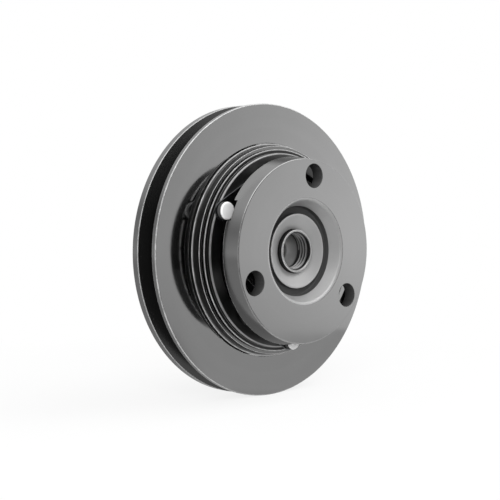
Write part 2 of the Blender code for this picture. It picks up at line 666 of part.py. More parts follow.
def snap_ring(inner, outer, lug_inner, lug_outer):
    """Outline of an open ring with a lug at each side of its opening, which faces down."""
    bottom = 3 * math.pi / 2
    start = bottom + CLIP_OPENING / 2
    end = bottom + 2 * math.pi - CLIP_OPENING / 2
    body_start = start + CLIP_LUG_SPAN
    body_end = end - CLIP_LUG_SPAN
    outside = arc(lug_outer, start, body_start, 2)
    outside += arc(outer, body_start, body_end, CLIP_STEPS)
    outside += arc(lug_outer, body_end, end, 2)
    inside = arc(lug_inner, end, body_end, 2)
    inside += arc(inner, body_end, body_start, CLIP_STEPS)
    inside += arc(lug_inner, body_start, start, 2)
    points = outside + inside
    return [p for i, p in enumerate(points) if math.dist(p, points[i - 1]) > MERGE_DISTANCE]


def make_snap_rings():
    rotor_outer = ROTOR_BORE_RADIUS + CLIP_GROOVE_DEPTH - SEAT_GAP
    rotor_inner = rotor_outer - CLIP_BAND
    rotor_outline = snap_ring(rotor_inner, rotor_outer, rotor_inner - CLIP_LUG, rotor_outer)
    rotor_mesh = flat_mesh("rotor_snap_ring", [rotor_outline], CLIP_REAR_Z, CLIP_FRONT_Z)
    add_piece("rotor_snap_ring", rotor_mesh, SPRING_STEEL, PULLEY)
    sleeve_inner = SLEEVE_SEAT_RADIUS - CLIP_GROOVE_DEPTH + SEAT_GAP
    sleeve_outer = sleeve_inner + CLIP_BAND
    sleeve_outline = snap_ring(sleeve_inner, sleeve_outer, sleeve_inner, sleeve_outer + CLIP_LUG)
    sleeve_mesh = flat_mesh("sleeve_snap_ring", [sleeve_outline], CLIP_REAR_Z, CLIP_FRONT_Z)
    add_piece("sleeve_snap_ring", sleeve_mesh, SPRING_STEEL, HUB)


def make_drive_plate():
    edge_centre = (PLATE_FRONT_RADIUS - PLATE_EDGE_FILLET, PLATE_FRONT_Z - PLATE_EDGE_FILLET)
    profile = [
        *arc(PLATE_EDGE_FILLET, math.pi / 2, 0, FILLET_STEPS // 2, edge_centre),
        (PLATE_REAR_RADIUS, PLATE_RIM_Z),
        (PLATE_RIM_BORE, PLATE_RIM_Z),
        (PLATE_RIM_BORE, PLATE_WEB_Z),
        (HUB_CORE_RADIUS, PLATE_WEB_Z),
        (HUB_CORE_RADIUS, BOSS_REAR_Z),
        (PLATE_BORE_RADIUS, BOSS_REAR_Z),
        (PLATE_BORE_RADIUS, BOSS_Z - BOSS_SLOPE_DEPTH),
        (BOSS_RADIUS - BOSS_LAND, BOSS_Z),
        (BOSS_RADIUS, BOSS_Z),
        (BOSS_RADIUS, TROUGH_Z),
        (DISH_RADIUS, TROUGH_Z),
        (DISH_RADIUS, BOSS_Z),
        (DISH_RIM_RADIUS, PLATE_FRONT_Z),
    ]
    plate = turn("drive_plate", profile, GREY_ENAMEL, HUB)
    screws = pattern(SPRING_COUNT, SCREW_PITCH_RADIUS, RIVET_ANGLE - SCREW_LAG)
    pad_top = (PAD_RADIUS, (PLATE_WEB_Z + PLATE_FRONT_Z) / 2)
    pads = add_cutter("spring_pads", cone_mesh("spring_pads", screws, (PAD_RADIUS, PAD_Z), pad_top), HUB)
    apply_boolean(plate, pads, "UNION")
    screw_hole = SCREW_RADIUS + SEAT_GAP
    hole_low = (screw_hole, PAD_Z - CUT_MARGIN)
    hole_high = (screw_hole, PAD_Z + SCREW_DEPTH)
    screw_holes = add_cutter("screw_holes", cone_mesh("screw_holes", screws, hole_low, hole_high), HUB)
    apply_boolean(plate, screw_holes, "DIFFERENCE")
    rivets = pattern(SPRING_COUNT, RIVET_PITCH_RADIUS, RIVET_ANGLE)
    relief_radius = RIVET_HEAD_RADIUS + RELIEF_GAP
    relief_low = (relief_radius, PLATE_RIM_Z - CUT_MARGIN)
    relief_high = (relief_radius, PLATE_RIM_Z + RELIEF_DEPTH)
    reliefs = add_cutter("rivet_reliefs", cone_mesh("rivet_reliefs", rivets, relief_low, relief_high), HUB)
    apply_boolean(plate, reliefs, "DIFFERENCE")
    holes = pattern(SPRING_COUNT, PLATE_HOLE_PITCH, PLATE_HOLE_ANGLE)
    plate_low = (PLATE_HOLE_RADIUS, PLATE_WEB_Z - CUT_MARGIN)
    plate_high = (PLATE_HOLE_RADIUS, PLATE_FRONT_Z + CUT_MARGIN)
    plate_holes = add_cutter("plate_holes", cone_mesh("plate_holes", holes, plate_low, plate_high), HUB)
    apply_boolean(plate, plate_holes, "DIFFERENCE")


def make_armature():
    rivet_hole = RIVET_SHANK_RADIUS + SEAT_GAP
    screw_clearance = SCREW_HEAD_RADIUS + HEAD_GAP
    step_z = ARMATURE_REAR_Z + ARMATURE_STEP_HEIGHT
    profile = [
        (ARMATURE_FACE_RADIUS, ARMATURE_FRONT_Z),
        (ARMATURE_FACE_RADIUS, step_z),
        (ARMATURE_RADIUS, step_z),
        (ARMATURE_RADIUS, ARMATURE_REAR_Z),
        (ARMATURE_BORE_RADIUS, ARMATURE_REAR_Z),
        (ARMATURE_BORE_RADIUS, ARMATURE_FRONT_Z),
    ]
    plate = turn("armature_plate", profile, DARK_STEEL, ARMATURE)
    low = ARMATURE_REAR_Z - CUT_MARGIN
    high = ARMATURE_FRONT_Z + CUT_MARGIN
    rivets = pattern(SPRING_COUNT, RIVET_PITCH_RADIUS, RIVET_ANGLE)
    screws = pattern(SPRING_COUNT, SCREW_PITCH_RADIUS, RIVET_ANGLE - SCREW_LAG)
    slots = arc_slots(
        SPRING_COUNT,
        ARMATURE_RADIUS - ARMATURE_SLOT_INSET,
        ARMATURE_SLOT_WIDTH,
        RIVET_ANGLE + ARMATURE_SLOT_LEAD,
        ARMATURE_SLOT_SPAN,
    )
    outlines = slots + [circle(screw_clearance, SMALL_STEPS, centre) for centre in screws]
    outlines += [circle(rivet_hole, SMALL_STEPS, centre) for centre in rivets]
    cuts = add_cutter("armature_cuts", flat_mesh("armature_cuts", outlines, low, high), ARMATURE)
    apply_boolean(plate, cuts, "DIFFERENCE")
    wide = rivet_hole + RIVET_FLARE + CUT_MARGIN
    sink_mesh = cone_mesh("rivet_sinks", rivets, (wide, low), (rivet_hole, ARMATURE_REAR_Z + RIVET_FLARE))
    sinks = add_cutter("rivet_sinks", sink_mesh, ARMATURE)
    apply_boolean(plate, sinks, "DIFFERENCE")


def make_springs():
    rivets = pattern(SPRING_COUNT, RIVET_PITCH_RADIUS, RIVET_ANGLE)
    screws = pattern(SPRING_COUNT, SCREW_PITCH_RADIUS, RIVET_ANGLE - SCREW_LAG)
    hole_radius = RIVET_SHANK_RADIUS + SEAT_GAP
    screw_hole = SCREW_RADIUS + SEAT_GAP
    head_z = SPRING_FRONT_Z + SEAT_GAP
    head_top = head_z + RIVET_HEAD_HEIGHT
    tail_z = ARMATURE_REAR_Z + SEAT_GAP
    rivet_profile = [
        (0, head_top),
        (RIVET_HEAD_RADIUS - RIVET_HEAD_CHAMFER, head_top),
        (RIVET_HEAD_RADIUS, head_top - RIVET_HEAD_CHAMFER),
        (RIVET_HEAD_RADIUS, head_z),
        (RIVET_SHANK_RADIUS, head_z),
        (RIVET_SHANK_RADIUS, ARMATURE_REAR_Z + RIVET_FLARE),
        (RIVET_SHANK_RADIUS + RIVET_FLARE - SEAT_GAP, tail_z),
        (0, tail_z),
    ]
    screw_head_z = SPRING_REAR_Z - SEAT_GAP
    screw_top = PAD_Z + SCREW_DEPTH - SEAT_GAP
    screw_profile = [
        (0, screw_top),
        (SCREW_RADIUS, screw_top),
        (SCREW_RADIUS, screw_head_z),
        (SCREW_HEAD_RADIUS, screw_head_z),
        (SCREW_HEAD_RADIUS, screw_head_z - SCREW_HEAD_HEIGHT),
        (0, screw_head_z - SCREW_HEAD_HEIGHT),
    ]
    for i, (rivet, screw) in enumerate(zip(rivets, screws), start=1):
        outlines = [
            strap(rivet, screw, SPRING_END_RADIUS),
            circle(hole_radius, SMALL_STEPS, rivet),
            circle(screw_hole, SMALL_STEPS, screw),
        ]
        leaf_mesh = flat_mesh(f"leaf_spring_{i}", outlines, SPRING_REAR_Z, SPRING_FRONT_Z)
        add_piece(f"leaf_spring_{i}", leaf_mesh, SPRING_STEEL, HUB)
        rivet_piece = turn(f"armature_rivet_{i}", rivet_profile, ZINC, ARMATURE, SMALL_STEPS, closed=False)
        rivet_piece.location = (*rivet, 0)
        screw_piece = turn(f"spring_screw_{i}", screw_profile, DARK_STEEL, HUB, SMALL_STEPS, closed=False)
        screw_piece.location = (*screw, 0)


def shade_parts():
    """Make the modifiers' meshes real and shade them smooth, with their corners kept sharp."""
    for piece in PARTS.objects:
        if piece.type != "MESH":
            continue
        if piece.modifiers:
            piece.data = evaluated_mesh(piece)
            piece.modifiers.clear()
        piece.data.shade_smooth()
        piece.data.set_sharp_from_angle(angle=SHARP_ANGLE)


make_sheave()
make_rotor()
make_field()
make_bearing()
make_sleeve()
make_snap_rings()
make_drive_plate()
make_armature()
make_springs()
shade_parts()
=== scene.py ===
"""Looks of the electromagnetic clutch: fine turned surfaces, finishes, floor, light and camera."""

from math import acos, atan2, cos, hypot, inf, pi, radians, sin, tan

import bmesh
import bpy
from mathutils import Matrix, Vector


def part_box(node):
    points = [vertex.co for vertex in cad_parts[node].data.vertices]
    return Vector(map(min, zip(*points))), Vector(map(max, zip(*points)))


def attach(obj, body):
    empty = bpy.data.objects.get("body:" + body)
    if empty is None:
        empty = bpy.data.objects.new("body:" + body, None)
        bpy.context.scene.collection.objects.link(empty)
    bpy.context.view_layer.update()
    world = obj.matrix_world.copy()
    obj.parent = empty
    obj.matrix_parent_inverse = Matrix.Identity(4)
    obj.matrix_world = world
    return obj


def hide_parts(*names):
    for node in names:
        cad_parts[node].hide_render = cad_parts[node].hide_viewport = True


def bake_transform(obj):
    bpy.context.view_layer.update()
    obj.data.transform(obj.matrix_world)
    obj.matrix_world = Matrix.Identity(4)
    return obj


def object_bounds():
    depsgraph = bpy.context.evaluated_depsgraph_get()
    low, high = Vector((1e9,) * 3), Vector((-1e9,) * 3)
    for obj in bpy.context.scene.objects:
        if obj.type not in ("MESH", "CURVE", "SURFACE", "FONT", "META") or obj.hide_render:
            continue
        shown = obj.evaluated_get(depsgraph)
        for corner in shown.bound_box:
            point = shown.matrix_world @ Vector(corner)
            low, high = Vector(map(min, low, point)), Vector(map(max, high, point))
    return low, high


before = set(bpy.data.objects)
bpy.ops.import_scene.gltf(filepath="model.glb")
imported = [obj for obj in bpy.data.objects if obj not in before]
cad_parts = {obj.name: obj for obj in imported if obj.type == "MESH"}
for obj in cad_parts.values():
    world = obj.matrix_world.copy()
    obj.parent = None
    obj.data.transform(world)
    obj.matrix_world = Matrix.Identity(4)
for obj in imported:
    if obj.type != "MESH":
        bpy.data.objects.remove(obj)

CAD_LOW, CAD_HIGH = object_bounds()
MM = 0.001

# Steps round a large and a small turned surface, along a quarter round and along a flat piece's bevel
TURN_STEPS = 192
SMALL_STEPS = 64
ROUND_STEPS = 5
BEVEL_STEPS = 2

# How far a cutter and its flared lip reach past the faces, and how close points count as one
CUT_MARGIN = 2.0 * MM
LIP_MARGIN = 0.03 * MM
MERGE_DISTANCE = 0.0005 * MM
WELD_DISTANCE = 0.002 * MM

# Edges that turn more than this stay sharp, and faces this square to the axis count as flat
SHARP_ANGLE = radians(32)
FLAT_FACING = 0.9999

# How much a face's size counts in the shading at its corners
LARGE_FACE_WEIGHT = 100

# Common rounding, how much of a rounding's height a mark takes in, and the gap at a seat
EDGE = 0.35 * MM
ROUND_SHARE = 0.9
SEAT_GAP = 0.3 * MM

# Heights are measured to the front from the pulley's front face, as y = FACE_Y - height
FACE_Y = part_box("pulley_sheave")[0].y


def outer_radius(node):
    """Radius of a node that is turned round the main axis."""
    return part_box(node)[1].x


def heights(node):
    """Rear and front height of a node."""
    low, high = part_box(node)
    return FACE_Y - high.y, FACE_Y - low.y


def polar(radius, angle):
    return radius * cos(angle), radius * sin(angle)


def around(count, first_angle):
    """Angles spaced evenly round the axis."""
    return [first_angle + 2 * pi * i / count for i in range(count)]


def middle(node):
    """A node's centre across the axis, as (x, z)."""
    low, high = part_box(node)
    return (low.x + high.x) / 2, (low.z + high.z) / 2


def half_width(node):
    """Radius of a small round node that stands beside the main axis."""
    low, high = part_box(node)
    return (high.x - low.x) / 2


# Meshes


def new_object(name, data):
    made = bpy.data.objects.new(name, data)
    bpy.context.scene.collection.objects.link(made)
    return made


def merge(built, distance):
    """Join points that lie this close together."""
    bmesh.ops.remove_doubles(built, verts=built.verts, dist=distance)
    bmesh.ops.dissolve_degenerate(built, edges=built.edges, dist=distance)


def built_piece(name, built):
    """A piece from a finished bmesh, with its faces turned outwards."""
    bmesh.ops.recalc_face_normals(built, faces=built.faces)
    mesh = bpy.data.meshes.new(name)
    built.to_mesh(mesh)
    built.free()
    return new_object(name, mesh)


def band(inner, outer, low, high, front_round, rear_round):
    """Corners of a plain ring's section."""
    rear = [(outer, low, rear_round), (inner, low, rear_round)]
    return [(outer, high, front_round), *rear, (inner, high, front_round)]


def rounded(corners, cutter=False):
    """Replace each (radius, height, rounding) corner by an arc, marked as edge where the metal stands out."""
    points = []
    following = corners[1:] + corners[:1]
    area = sum(here[0] * after[1] - after[0] * here[1] for here, after in zip(corners, following))
    for i, (radius, height, rounding) in enumerate(corners):
        here = Vector((radius, height))
        if rounding == 0:
            points.append((radius, height, 0))
            continue
        before = Vector(corners[i - 1][:2]) - here
        after = Vector(corners[(i + 1) % len(corners)][:2]) - here
        half = before.angle(after) / 2
        centre = here + (before.normalized() + after.normalized()).normalized() * rounding / sin(half)
        start = here + before.normalized() * rounding / tan(half) - centre
        turn = pi - 2 * half
        if start.x * before.y - start.y * before.x > 0:
            turn = -turn
        stands_out = (turn * area > 0) != cutter
        steps = max(2, round(ROUND_STEPS * abs(turn) / (pi / 2)))
        for step in range(steps + 1):
            spoke = Matrix.Rotation(turn * step / steps, 2) @ start
            points.append((centre.x + spoke.x, centre.y + spoke.y, stands_out and 0 < step < steps))
    return points


def revolve(name, corners, steps=TURN_STEPS, centre=(0, 0), cutter=False):
    """Turn a closed (radius, height, rounding) outline round the axis, or round a line beside it."""
    outline = rounded(corners, cutter)
    built = bmesh.new()
    edge_layer = built.verts.layers.float.new("edge")
    rings = []
    for radius, height, edge in outline:
        ring = []
        for step in range(steps):
            x, z = polar(radius, 2 * pi * step / steps)
            vertex = built.verts.new((centre[0] + x, FACE_Y - height, centre[1] + z))
            vertex[edge_layer] = edge
            ring.append(vertex)
        rings.append(ring)
    for i, ring in enumerate(rings):
        last = rings[i - 1]
        if outline[i][0] == outline[i - 1][0] == 0:
            continue
        for j in range(steps):
            built.faces.new((last[j - 1], last[j], ring[j], ring[j - 1]))
    merge(built, MERGE_DISTANCE)
    return built_piece(name, built)


def evaluated_mesh(piece):
    depsgraph = bpy.context.evaluated_depsgraph_get()
    return bpy.data.meshes.new_from_object(
        piece.evaluated_get(depsgraph), preserve_all_data_layers=True, depsgraph=depsgraph
    )


def weld(mesh):
    """Close the hairline seams that a boolean can leave."""
    built = bmesh.new()
    built.from_mesh(mesh)
    merge(built, WELD_DISTANCE)
    built.to_mesh(mesh)
    built.free()


def combine(piece, tools, operation):
    """Cut tools out of a piece one by one, or join them to it; its flat faces stay free of edge wear."""
    for tool in tools:
        boolean = piece.modifiers.new(tool.name, "BOOLEAN")
        boolean.operation = operation
        boolean.solver = "EXACT"
        boolean.object = tool
        piece.data = evaluated_mesh(piece)
        piece.modifiers.clear()
        weld(piece.data)
        bpy.data.objects.remove(tool)
    edge = piece.data.attributes["edge"].data
    for face in piece.data.polygons:
        if abs(face.normal.y) > FLAT_FACING:
            for index in face.vertices:
                edge[index].value = 0.0


def hole_tool(centre, radius, low, high, lip):
    """A round cutter that flares just past both faces, so the hole it leaves has rounded lips."""
    flare = radius + lip
    top = high + LIP_MARGIN
    bottom = low - LIP_MARGIN
    corners = [
        (0, high + CUT_MARGIN, 0),
        (flare, high + CUT_MARGIN, 0),
        (flare, top, 0),
        (radius, top, lip),
        (radius, bottom, lip),
        (flare, bottom, 0),
        (flare, low - CUT_MARGIN, 0),
        (0, low - CUT_MARGIN, 0),
    ]
    return revolve("hole_tool", corners, SMALL_STEPS, centre, cutter=True)


def flat_solid(name, outlines, low, high, bevel=0.0):
    """Extrude flat (x, z) outlines, holes included, between two heights."""
    curve = bpy.data.curves.new(name, "CURVE")
    curve.dimensions = "2D"
    curve.fill_mode = "BOTH"
    curve.extrude = (high - low) / 2 - bevel
    curve.bevel_depth = bevel
    curve.bevel_resolution = BEVEL_STEPS
    curve.offset = -bevel
    for outline in outlines:
        spline = curve.splines.new("POLY")
        spline.points.add(len(outline) - 1)
        for point, (x, z) in zip(spline.points, outline):
            point.co = (x, z, 0, 1)
        spline.use_cyclic_u = True
    drawn = new_object(name + "_outline", curve)
    mesh = evaluated_mesh(drawn)
    bpy.data.objects.remove(drawn)
    built = bmesh.new()
    built.from_mesh(mesh)
    bmesh.ops.remove_doubles(built, verts=built.verts, dist=MERGE_DISTANCE)
    standing = Matrix.Translation((0, FACE_Y - (low + high) / 2, 0)) @ Matrix.Rotation(pi / 2, 4, "X")
    bmesh.ops.transform(built, matrix=standing, verts=built.verts)
    bmesh.ops.recalc_face_normals(built, faces=built.faces)
    built.to_mesh(mesh)
    built.free()
    return new_object(name, mesh)


def arc(radius, start, end, steps, centre=(0, 0)):
    points = []
    for step in range(steps + 1):
        x, z = polar(radius, start + (end - start) * step / steps)
        points.append((centre[0] + x, centre[1] + z))
    return points


def circle(radius, centre, steps=SMALL_STEPS):
    return arc(radius, 0, 2 * pi, steps, centre)[:-1]


def round_tool(name, centre, radius, low, high):
    return flat_solid(name, [circle(radius, centre)], low, high)


def bent_slot(radius, width, angle, span):
    """Outline of a slot that runs round the axis, with round ends."""
    start = angle - span / 2
    end = angle + span / 2
    half = width / 2
    outline = arc(radius + half, start, end, SMALL_STEPS)
    outline += arc(half, end, end + pi, SMALL_STEPS // 4, polar(radius, end))[1:-1]
    outline += arc(radius - half, end, start, SMALL_STEPS)
    outline += arc(half, start + pi, start + 2 * pi, SMALL_STEPS // 4, polar(radius, start))[1:-1]
    return outline


def mark(piece, name, amount=1.0, inner=-inf, outer=inf, low=-inf, high=inf, centre=(0, 0)):
    """Set a named value at the vertices between two radii and two heights."""
    layer = piece.data.attributes.get(name) or piece.data.attributes.new(name, "FLOAT", "POINT")
    for vertex, value in zip(piece.data.vertices, layer.data):
        place = vertex.co
        radius = hypot(place.x - centre[0], place.z - centre[1])
        if inner < radius < outer and low < FACE_Y - place.y < high:
            value.value = amount


def smooth(piece):
    """Shade smooth with sharp corners, keep the flat faces flat and let the large faces lead the shading."""
    piece.data.shade_smooth()
    piece.data.set_sharp_from_angle(angle=SHARP_ANGLE)
    built = bmesh.new()
    built.from_mesh(piece.data)
    for edge in built.edges:
        if len({abs(face.normal.y) > FLAT_FACING for face in edge.link_faces}) > 1:
            edge.smooth = False
    built.to_mesh(piece.data)
    built.free()
    weighted = piece.modifiers.new("weighted_normals", "WEIGHTED_NORMAL")
    weighted.keep_sharp = True
    weighted.weight = LARGE_FACE_WEIGHT


def finish_piece(piece, body, slot, *nodes):
    """Shade a piece, give it its finish and body, and let it stand for its nodes."""
    smooth(piece)
    piece.data.materials.clear()
    piece.data.materials.append(FINISHES[slot])
    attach(piece, body)
    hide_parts(*nodes)


# Materials

# Materials by name; a piece's finish is named as its slot
FINISHES = {}

# Where most of a noise's values lie
NOISE_REACH = (0.3, 0.7)


class Nodes:
    """A short way to add and link shader nodes in one tree."""

    def __init__(self, tree):
        self.tree = tree

    def add(self, kind, inputs=None, **settings):
        node = self.tree.nodes.new("ShaderNode" + kind)
        for name, value in settings.items():
            setattr(node, name, value)
        for key, value in (inputs or {}).items():
            if isinstance(value, bpy.types.NodeSocket):
                self.tree.links.new(value, node.inputs[key])
            else:
                node.inputs[key].default_value = value
        return node

    def link(self, output, node, name):
        self.tree.links.new(output, node.inputs[name])

    def math(self, operation, *values):
        return self.add("Math", dict(enumerate(values)), operation=operation).outputs[0]

    def times(self, first, second):
        return self.math("MULTIPLY", first, second)

    def vector_math(self, operation, *values):
        """The vector and the number that a vector operation gives."""
        return self.add("VectorMath", dict(enumerate(values)), operation=operation).outputs

    def along(self, axis, vector):
        return self.add("SeparateXYZ", {0: vector}).outputs[axis]

    def attribute(self, name):
        return self.add("Attribute", attribute_name=name).outputs["Fac"]

    def mix_shader(self, factor, first, second):
        return self.add("MixShader", {0: factor, 1: first, 2: second}).outputs[0]

    def white(self, kind, level=1.0):
        """White light from an emission or background node."""
        return self.add(kind, {"Color": grey(1.0), "Strength": level}).outputs[0]

    def mix(self, factor, first, second):
        """Mix two colours; 0, 6 and 7 are the node's factor and colour inputs."""
        inputs = {0: factor, 6: first, 7: second}
        return self.add("Mix", inputs, data_type="RGBA").outputs[2]

    def noise(self, vector, scale, detail, roughness):
        inputs = {"Vector": vector, "Scale": scale, "Detail": detail, "Roughness": roughness}
        return self.add("TexNoise", inputs).outputs["Fac"]

    def ramp(self, value, ends, levels):
        """Map a value between two ends onto two levels, and keep to them outside."""
        inputs = {"Value": value, "From Min": ends[0], "From Max": ends[1]}
        inputs.update({"To Min": levels[0], "To Max": levels[1]})
        return self.add("MapRange", inputs).outputs["Result"]

    def spread(self, value, low, high):
        """Map a noise onto a range."""
        return self.ramp(value, NOISE_REACH, (low, high))


def grey(level, tint=0.0):
    """A neutral colour, cooled a little by tint."""
    return (level * (1 - tint), level, level * (1 + tint), 1)


def new_material(name):
    """Make a material, keep it by its name, and give its nodes and shader."""
    material = bpy.data.materials.new(name)
    material.use_nodes = True
    FINISHES[name] = material
    return Nodes(material.node_tree), material.node_tree.nodes["Principled BSDF"]


def object_place(nodes):
    return nodes.add("TexCoord").outputs["Object"]


def add_bump(nodes, shader, height, strength, distance):
    inputs = {"Height": height, "Strength": strength, "Distance": distance}
    bump = nodes.add("Bump", inputs)
    nodes.link(bump.outputs[0], shader, "Normal")


# Turned steel's noises, as scale per metre, detail and roughness
TOOL_MARK_NOISE = (2600, 2.0, 0.6)
BAND_NOISE = (260, 2.0, 0.5)
PATCH_NOISE = (45, 4.0, 0.6)
SKIN_NOISE = (1400, 3.0, 0.6)
RUBBED_NOISE = (160, 4.0, 0.7)

# What its patches, bands and tool marks, its worn and bare places, and its places of painted shade (marked
# dark), do to tone and gloss
RUBBED_RANGE = (0.5, 1.0)
BAND_STRENGTH = 0.25
BAND_DIM = 0.80
PATCH_TONE = 0.02
PAINTED_SHADE_LEVEL = 0.09
WORN_LEVEL = 0.70
PATCH_GLOSS = 0.015
TOOL_MARK_GLOSS = (-0.02, 0.03)
SKIN_GLOSS = 0.02
PAINTED_SHADE_ROUGHNESS = 0.2
WORN_ROUGHNESS = 0.25
BARE_ROUGHNESS = 0.3
BARE_SCATTER = 0.5
WORN_SCATTER = 0.6
METAL_RELIEF = 0.0006 * MM


def metal(name, level, roughness, lines=0.5, grain=0.5, worn=0.55, tint=0.0, metallic=1.0):
    """Turned steel: rings of fine tool marks, a grainy skin, uneven gloss, rubbed edges, and painted shade
    where marked dark.
    """
    nodes, shader = new_material(name)
    place = object_place(nodes)
    across = nodes.vector_math("MULTIPLY", place, (1, 0, 1))["Vector"]
    radius = nodes.vector_math("LENGTH", across)["Value"]
    ring = nodes.add("CombineXYZ", {0: radius, 1: nodes.along("Y", place)}).outputs[0]
    tool_marks = nodes.noise(ring, *TOOL_MARK_NOISE)
    bands = nodes.noise(ring, *BAND_NOISE)
    patches = nodes.noise(place, *PATCH_NOISE)
    skin = nodes.noise(place, *SKIN_NOISE)
    rubbed = nodes.noise(place, *RUBBED_NOISE)

    edge, dark, bare = map(nodes.attribute, ("edge", "dark", "bare"))
    wear = nodes.times(edge, nodes.spread(rubbed, *RUBBED_RANGE))
    dim, bright = grey(level * (1 - PATCH_TONE), tint), grey(level * (1 + PATCH_TONE), tint)
    tone = nodes.mix(nodes.spread(patches, 0, 1), dim, bright)
    tone = nodes.mix(nodes.spread(bands, 0, BAND_STRENGTH * lines), tone, grey(level * BAND_DIM, tint))
    # Painted shade: where a piece is marked dark, its tone falls to near black and, below, its gloss is
    # dulled
    tone = nodes.mix(dark, tone, grey(PAINTED_SHADE_LEVEL, tint))
    tone = nodes.mix(nodes.times(wear, worn), tone, grey(WORN_LEVEL, tint))
    nodes.link(tone, shader, "Base Color")

    gloss = nodes.spread(patches, roughness - PATCH_GLOSS, roughness + PATCH_GLOSS)
    gloss = nodes.math("ADD", gloss, nodes.spread(tool_marks, *(end * lines for end in TOOL_MARK_GLOSS)))
    gloss = nodes.math("ADD", gloss, nodes.spread(skin, -SKIN_GLOSS * grain, SKIN_GLOSS * grain))
    for share, rise in ((dark, PAINTED_SHADE_ROUGHNESS), (wear, WORN_ROUGHNESS), (bare, BARE_ROUGHNESS)):
        gloss = nodes.math("MULTIPLY_ADD", share, rise, gloss)
    nodes.link(gloss, shader, "Roughness")
    scatter = nodes.math("MAXIMUM", nodes.times(bare, BARE_SCATTER), nodes.times(wear, WORN_SCATTER))
    nodes.link(nodes.ramp(scatter, (0, 1), (metallic, 0.0)), shader, "Metallic")

    relief = nodes.math("MULTIPLY_ADD", skin, grain, nodes.times(tool_marks, lines))
    add_bump(nodes, shader, relief, 1.0, METAL_RELIEF)


# Dusty patches and moulded grain of rubber, plastic and resin
DUST_NOISE = (70, 4.0, 0.6)
GRAIN_DETAIL = (3.0, 0.6)
DUST_TONES = (0.8, 1.35)
DUST_GLOSS = 0.08
GRAIN_GLOSS = 0.06
GRAIN_STRENGTH = 0.6
GRAIN_RELIEF = 0.02 * MM


def dull(name, level, roughness, grain_scale=900):
    """Rubber, plastic or resin: dark, with a fine moulded grain and dusty patches."""
    nodes, shader = new_material(name)
    place = object_place(nodes)
    patches = nodes.noise(place, *DUST_NOISE)
    skin = nodes.noise(place, grain_scale, *GRAIN_DETAIL)
    dim, bright = (grey(level * tone) for tone in DUST_TONES)
    nodes.link(nodes.mix(nodes.spread(patches, 0, 1), dim, bright), shader, "Base Color")
    dusty = nodes.spread(patches, roughness, roughness + DUST_GLOSS)
    gloss = nodes.math("ADD", nodes.spread(skin, -GRAIN_GLOSS, GRAIN_GLOSS), dusty)
    nodes.link(gloss, shader, "Roughness")
    add_bump(nodes, shader, skin, GRAIN_STRENGTH, GRAIN_RELIEF)


# Turns of enamelled wire
WIRE_PITCH = 0.9 * MM
WIRE_RELIEF = 0.1 * MM
ENAMEL_NOISE = (90, 3.0, 0.5)
ENAMEL_DARK = (0.42, 0.13, 0.05, 1)
ENAMEL_BRIGHT = (0.62, 0.24, 0.10, 1)
ENAMEL_GLOSS = (0.25, 0.4)
ENAMEL_METALLIC = 0.8


def wound_copper(name):
    """Enamelled copper wire laid turn beside turn along the axis."""
    nodes, shader = new_material(name)
    place = object_place(nodes)
    ridge = nodes.math("SINE", nodes.times(nodes.along("Y", place), 2 * pi / WIRE_PITCH))
    patches = nodes.noise(place, *ENAMEL_NOISE)
    nodes.link(nodes.mix(nodes.spread(patches, 0, 1), ENAMEL_DARK, ENAMEL_BRIGHT), shader, "Base Color")
    shader.inputs["Metallic"].default_value = ENAMEL_METALLIC
    nodes.link(nodes.spread(patches, *ENAMEL_GLOSS), shader, "Roughness")
    add_bump(nodes, shader, ridge, 1.0, WIRE_RELIEF)


metal("sheave_finish", 0.41, 0.08, grain=0.6)
metal("drive_plate_finish", 0.41, 0.11, lines=0.4, grain=0.6)
metal("rotor_steel", 0.30, 0.24, lines=1.0, grain=0.4, worn=0.7)
metal("armature_steel", 0.30, 0.28, lines=1.0, grain=0.4, worn=0.7)
metal("field_steel", 0.30, 0.32, lines=0.2, grain=1.0)
metal("bright_steel", 0.46, 0.20, lines=0.8, grain=0.3, worn=0.8)
metal("bearing_steel", 0.60, 0.15, lines=0.8, grain=0.1)
metal("spring_steel", 0.22, 0.28, lines=0.1, grain=0.8, tint=0.03)
metal("zinc", 0.76, 0.45, lines=0.2, grain=0.8, worn=0.2, metallic=0.35)
metal("dark_steel", 0.14, 0.34, lines=0.3, grain=0.8)
dull("rubber", 0.018, 0.55)
dull("cage_plastic", 0.030, 0.42)
dull("bobbin_plastic", 0.022, 0.45)
dull("resin", 0.040, 0.30, grain_scale=300)
wound_copper("copper")


# Pulley and rotor

RIM_EDGE = 0.6 * MM
RIM_FRONT_LAND = 2.7 * MM
GROOVE_OPENING = 11.2 * MM
GROOVE_DEPTH = 10.0 * MM
GROOVE_HALF_ANGLE = radians(18)
GROOVE_PAINTED_SHADE = 0.85


def make_sheave():
    """The belt pulley, with one V groove."""
    rim = outer_radius("pulley_sheave")
    rear, front = heights("pulley_sheave")
    bore = outer_radius("rotor") + SEAT_GAP
    floor = rim - GROOVE_DEPTH
    slope = GROOVE_DEPTH * tan(GROOVE_HALF_ANGLE)
    groove_front = front - RIM_FRONT_LAND
    groove_rear = groove_front - GROOVE_OPENING
    corners = [
        (rim, front, RIM_EDGE),
        (rim, groove_front, EDGE),
        (floor, groove_front - slope, 2 * EDGE),
        (floor, groove_rear + slope, 2 * EDGE),
        (rim, groove_rear, RIM_EDGE),
        (rim, rear, RIM_EDGE),
        (bore, rear, EDGE),
        (bore, front, EDGE),
    ]
    sheave = revolve("belt_sheave", corners)
    # Painted shade: the inside of the V groove is marked dark
    mark(sheave, "dark", GROOVE_PAINTED_SHADE, outer=rim - EDGE / 2, low=groove_rear, high=groove_front)
    finish_piece(sheave, "pulley", "sheave_finish", "pulley_sheave")


